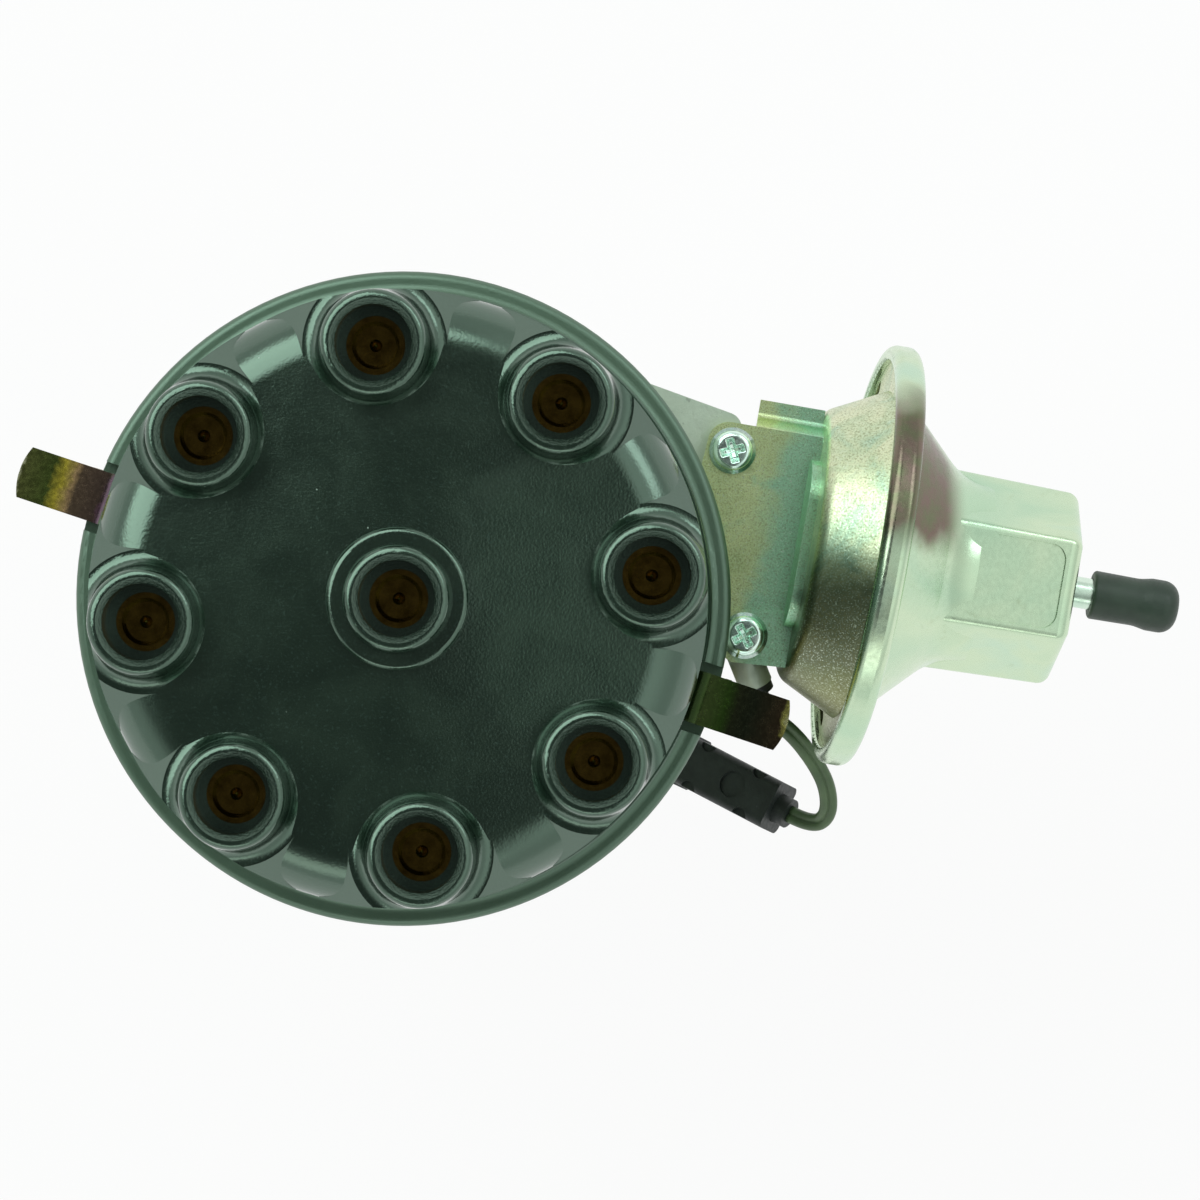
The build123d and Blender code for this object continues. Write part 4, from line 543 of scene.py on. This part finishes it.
def wound_copper():
    """Enamelled wire wound side by side."""
    paint = Paint("winding")
    turns = paint.math("SINE", paint.multiply(paint.add(paint.x, paint.y), 14.0))
    copper = [(0.2, (0.16, 0.05, 0.02)), (0.9, (0.55, 0.22, 0.09))]
    colour = paint.ramp(paint.span(turns, -1.0, 1.0), copper)
    paint.bump(turns, 0.05)
    return paint.finish(colour, paint.span(turns, -1.0, 1.0, 0.45, 0.28), 0.9)


def brass():
    """Tarnished brass, as at the bottom of the sockets."""
    paint = Paint("brass")
    colour = paint.shades(paint.noise(2.0, 4.0, 0.6), (0.09, 0.054, 0.010), (0.22, 0.140, 0.030))
    fine = paint.noise(0.3, 2.0, 0.5)
    paint.bump(fine, 0.006)
    return paint.finish(colour, paint.levels(fine, 0.12, 0.22), 1.0)


def slot_finishes():
    """One material for each material slot of the record."""
    finishes = {
        "cap_plastic": cap_plastic(),
        "brass": brass(),
        "shaft_steel": shaft_steel(),
        "winding": wound_copper(),
        "cast_aluminium": cast_aluminium(),
        "canister_zinc": canister_zinc(),
        "drum_zinc": drum_zinc(),
    }
    for slot, look in METALS.items():
        finishes[slot] = metal(slot, **look)
    for slot, look in PLASTICS.items():
        finishes[slot] = soft_plastic(slot, **look)
    return finishes


def own_finishes():
    """Materials of the nodes that look unlike the rest of their slot."""
    return {
        "vacuum_bracket": bracket_zinc(),
        "nipple_cap": soft_plastic("cap_rubber", (0.018, 0.034, 0.022), (0.030, 0.052, 0.034), 0.46),
        "clip_left": strap_zinc("yellow_zinc_left", LEFT_TINTS),
        "clip_right": strap_zinc("yellow_zinc_right", RIGHT_TINTS),
    }


def dress_nodes(by_slot, by_node):
    """Every CAD node gets its own material, or else that of its slot."""
    for part in frame["record"]["subparts"]:
        slots = nodes[part["node"]].data.materials
        slots.clear()
        slots.append(by_node.get(part["node"]) or by_slot[part["material_slot"]])


def pan_height(away):
    """Height of the head's skin above the washer's foot at a distance from the screw's axis."""
    rim = max(0.0, away - (SCREW_R - SCREW_ROUND)) / SCREW_ROUND
    crown = SCREW_CROWN * (away / SCREW_R) ** 2
    return SCREW_HEIGHT - crown - SCREW_ROUND * (1 - math.sqrt(1 - rim**2))


def recess_depth(x, y):
    """Depth of the cross recess, whose four arms slope down to a point."""
    deepest = 0.0
    for along, across in ((abs(x), abs(y)), (abs(y), abs(x))):
        side = (RECESS_HALF - across) / RECESS_SIDE
        end = (RECESS_REACH - along) / RECESS_END
        share = max(0.0, min(1.0, side, end))
        point = RECESS_POINT_DEPTH * max(0.0, 1.0 - along / RECESS_POINT_R)
        deepest = max(deepest, share * (RECESS_DEPTH + point))
    return deepest


def circle(away):
    """Points round the screw's axis, in the order of its rings."""
    angles = [2 * math.pi * k / SCREW_SIDES for k in range(SCREW_SIDES)]
    return [(away * math.cos(angle), away * math.sin(angle)) for angle in angles]


def screw_vertices():
    """The middle of the head, then rings over its skin, down its side and round the washer."""
    vertices = [(0.0, 0.0, SCREW_HEIGHT - recess_depth(0.0, 0.0))]
    for ring in range(1, SCREW_RINGS):
        away = SCREW_R * ring / SCREW_RINGS
        vertices += [(x, y, pan_height(away) - recess_depth(x, y)) for x, y in circle(away)]
    edges = (
        (SCREW_R, SCREW_HEIGHT - SCREW_CROWN - SCREW_ROUND),
        (SCREW_R, SCREW_WASHER),
        (WASHER_R, SCREW_WASHER),
        (WASHER_R, 0.0),
    )
    for away, height in edges:
        vertices += [(x, y, height) for x, y in circle(away)]
    return vertices


def screw_faces(count):
    """Triangles round the middle vertex, then squares between the rings of count vertices."""
    faces = [(0, 1 + k, 1 + (k + 1) % SCREW_SIDES) for k in range(SCREW_SIDES)]
    for first in range(1, count - SCREW_SIDES, SCREW_SIDES):
        second = first + SCREW_SIDES
        for k in range(SCREW_SIDES):
            near = (k + 1) % SCREW_SIDES
            faces.append((first + k, second + k, second + near, first + near))
    return faces


def screws_mesh():
    """Both screws, each standing where the top of its CAD solid says."""
    corners = [vertex.co for vertex in nodes["bracket_screws"].data.vertices]
    local = screw_vertices()
    panels = screw_faces(len(local))
    vertices, faces = [], []
    for x, y, turn in SCREW_PLACES:
        near = [corner.z for corner in corners if math.hypot(corner.x - x, corner.y - y) < SCREW_REACH]
        foot = Vector((x, y, max(near) - SCREW_HEIGHT / MM_PER_M))
        turned = Matrix.Rotation(math.radians(turn), 3, "Z")
        faces += [[len(vertices) + number for number in panel] for panel in panels]
        vertices += [foot + turned @ Vector(corner) / MM_PER_M for corner in local]
    data = bpy.data.meshes.new("screw_heads")
    data.from_pydata(vertices, [], faces)
    return data


def route_points(points):
    """Points along the smooth curve that a route's points control, in order."""
    curve = bpy.data.curves.new("route", "CURVE")
    curve.dimensions = "3D"
    spline = curve.splines.new("NURBS")
    spline.points.add(len(points) - 1)
    for point, place in zip(spline.points, points):
        point.co = (*place, 1.0)
    spline.order_u = 3
    spline.use_endpoint_u = True
    spline.resolution_u = ROUTE_STEPS
    guide = bpy.data.objects.new("route", curve)
    mesh = bpy.data.meshes.new_from_object(guide)
    line = [vertex.co.copy() for vertex in mesh.vertices]
    bpy.data.objects.remove(guide)
    bpy.data.curves.remove(curve)
    bpy.data.meshes.remove(mesh)
    return line


def twin_section(width):
    """Outline of two wires side by side, whose lobes meet in a groove."""
    radius = WIRE_SHARE * width
    apart = width / 2 - radius
    outline = []
    for k in range(LEAD_SIDES):
        angle = 2 * math.pi * k / LEAD_SIDES
        along, across = math.cos(angle), math.sin(angle)
        reach = apart * abs(along) + math.sqrt(radius**2 - (apart * across) ** 2)
        outline.append((reach * along, reach * across))
    return outline


def tube_mesh(name, line, section):
    """Mesh of a section that is carried along a line, its first axis kept level."""
    mesh = bmesh.new()
    rings = []
    for k, place in enumerate(line):
        before, after = line[max(k - 1, 0)], line[min(k + 1, len(line) - 1)]
        ahead = (after - before).normalized()
        axis = ahead.cross(Vector((0.0, 0.0, 1.0))).normalized()
        other = ahead.cross(axis)
        rings.append([mesh.verts.new(place + axis * x + other * y) for x, y in section])
    for first, second in zip(rings, rings[1:]):
        for k in range(len(section)):
            near = (k + 1) % len(section)
            mesh.faces.new((first[k], first[near], second[near], second[k]))
    mesh.faces.new(rings[0][::-1])
    mesh.faces.new(rings[-1])
    data = bpy.data.meshes.new(name)
    mesh.to_mesh(data)
    mesh.free()
    return data


def add_piece(data, finish):
    """A smooth piece with one material."""
    data.materials.append(finish)
    for face in data.polygons:
        face.use_smooth = True
    piece = bpy.data.objects.new(data.name, data)
    scene.collection.objects.link(piece)
    return piece


def floor_material():
    """Pale floor that keeps the shadow and looks white to the camera, in metal and through glass."""
    material = bpy.data.materials.new("floor")
    tree = Tree(material, "ShaderNodeOutputMaterial")
    plain = tree.shader("ShaderNodeBsdfDiffuse", FLOOR_COLOUR)
    glow = tree.shader("ShaderNodeEmission", WHITE)
    path = tree.nodes.new("ShaderNodeLightPath").outputs
    seen = tree.math("MAXIMUM", path["Is Camera Ray"], path["Is Glossy Ray"])
    seen = tree.math("MAXIMUM", seen, path["Is Transmission Ray"])
    tree.mix_to_output(tree.multiply(seen, FLOOR_WHITE), plain, glow)
    return material


def add_floor():
    """Plain square under the lowest point of the object."""
    corners = ((-1, -1), (1, -1), (1, 1), (-1, 1))
    vertices = [(FLOOR_HALF * x, FLOOR_HALF * y, FLOOR_Z) for x, y in corners]
    data = bpy.data.meshes.new("floor")
    data.from_pydata(vertices, [], [(0, 1, 2, 3)])
    data.materials.append(floor_material())
    floor = bpy.data.objects.new("floor", data)
    scene.collection.objects.link(floor)
    return floor


def add_room():
    """World that lights the object as a studio does and is white behind it."""
    scene.world = bpy.data.worlds.new("studio")
    tree = Tree(scene.world, "ShaderNodeOutputWorld")
    room = tree.shader("ShaderNodeBackground", ROOM_COLOUR)
    backdrop = tree.shader("ShaderNodeBackground", WHITE)
    direction = tree.nodes.new("ShaderNodeTexCoord").outputs["Generated"]
    to_right, _, height = tree.split(direction)
    low = tree.span(height, HORIZON, ZENITH, 1.0, 0.0)
    level = tree.add(tree.multiply(low, ROOM_LOW - ROOM_HIGH), ROOM_HIGH)
    side = tree.span(to_right, SIDE_FROM, SIDE_TO, 0.0, ROOM_SIDE)
    side = tree.multiply(side, tree.subtract(1.0, low))
    tree.link(tree.add(level, side), room.inputs["Strength"])
    path = tree.nodes.new("ShaderNodeLightPath").outputs
    near_horizon = tree.span(height, 0.0, MIRRORED_TO, 1.0, 0.0)
    mirrored = tree.multiply(path["Is Glossy Ray"], near_horizon)
    seen = tree.math("MAXIMUM", path["Is Camera Ray"], path["Is Transmission Ray"])
    tree.mix_to_output(tree.math("MAXIMUM", seen, mirrored), room, backdrop)


def add_softbox(name, turn, lean, away, size, radiance, colour):
    """Lamp of that radiance, turn degrees round from +X and lean degrees off the vertical."""
    leaned = Matrix.Rotation(math.radians(lean), 3, "Y") @ Vector((0.0, 0.0, 1.0))
    toward = Matrix.Rotation(math.radians(turn), 3, "Z") @ leaned
    width, height = size
    lamp = bpy.data.lights.new(name, "AREA")
    lamp.shape = "RECTANGLE"
    lamp.size = width
    lamp.size_y = height
    lamp.energy = radiance * math.pi * width * height
    lamp.color = colour
    piece = bpy.data.objects.new(name, lamp)
    piece.location = Vector(LAMP_AIM) + toward * away
    piece.rotation_euler = (-toward).to_track_quat("-Z", "Y").to_euler()
    scene.collection.objects.link(piece)


def add_camera():
    """Camera that looks straight down, as it does when it isn't turned."""
    data = bpy.data.cameras.new("camera")
    data.lens = CAMERA_LENS
    data.sensor_width = CAMERA_SENSOR
    data.clip_start = CAMERA_NEAR
    data.clip_end = CAMERA_FAR
    camera = bpy.data.objects.new("camera", data)
    camera.location = CAMERA_AT
    scene.collection.objects.link(camera)
    scene.camera = camera


add_camera()

finishes = slot_finishes()
dress_nodes(finishes, own_finishes())

# The bracket's screws, with real cross recesses
screws = add_piece(screws_mesh(), finishes["screw_zinc"])
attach(screws, "distributor")
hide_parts("bracket_screws")

# The pickup lead, two wires side by side
lead_line = route_points(LEAD_ROUTE)
lead = add_piece(tube_mesh("lead", lead_line, twin_section(LEAD_D)), finishes["lead_rubber"])
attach(lead, "distributor")
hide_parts("pickup_lead")

add_floor()
add_room()
for name, lamp in LAMPS.items():
    add_softbox(name, **lamp)

scene.view_settings.view_transform = "Standard"

bpy.context.view_layer.update()
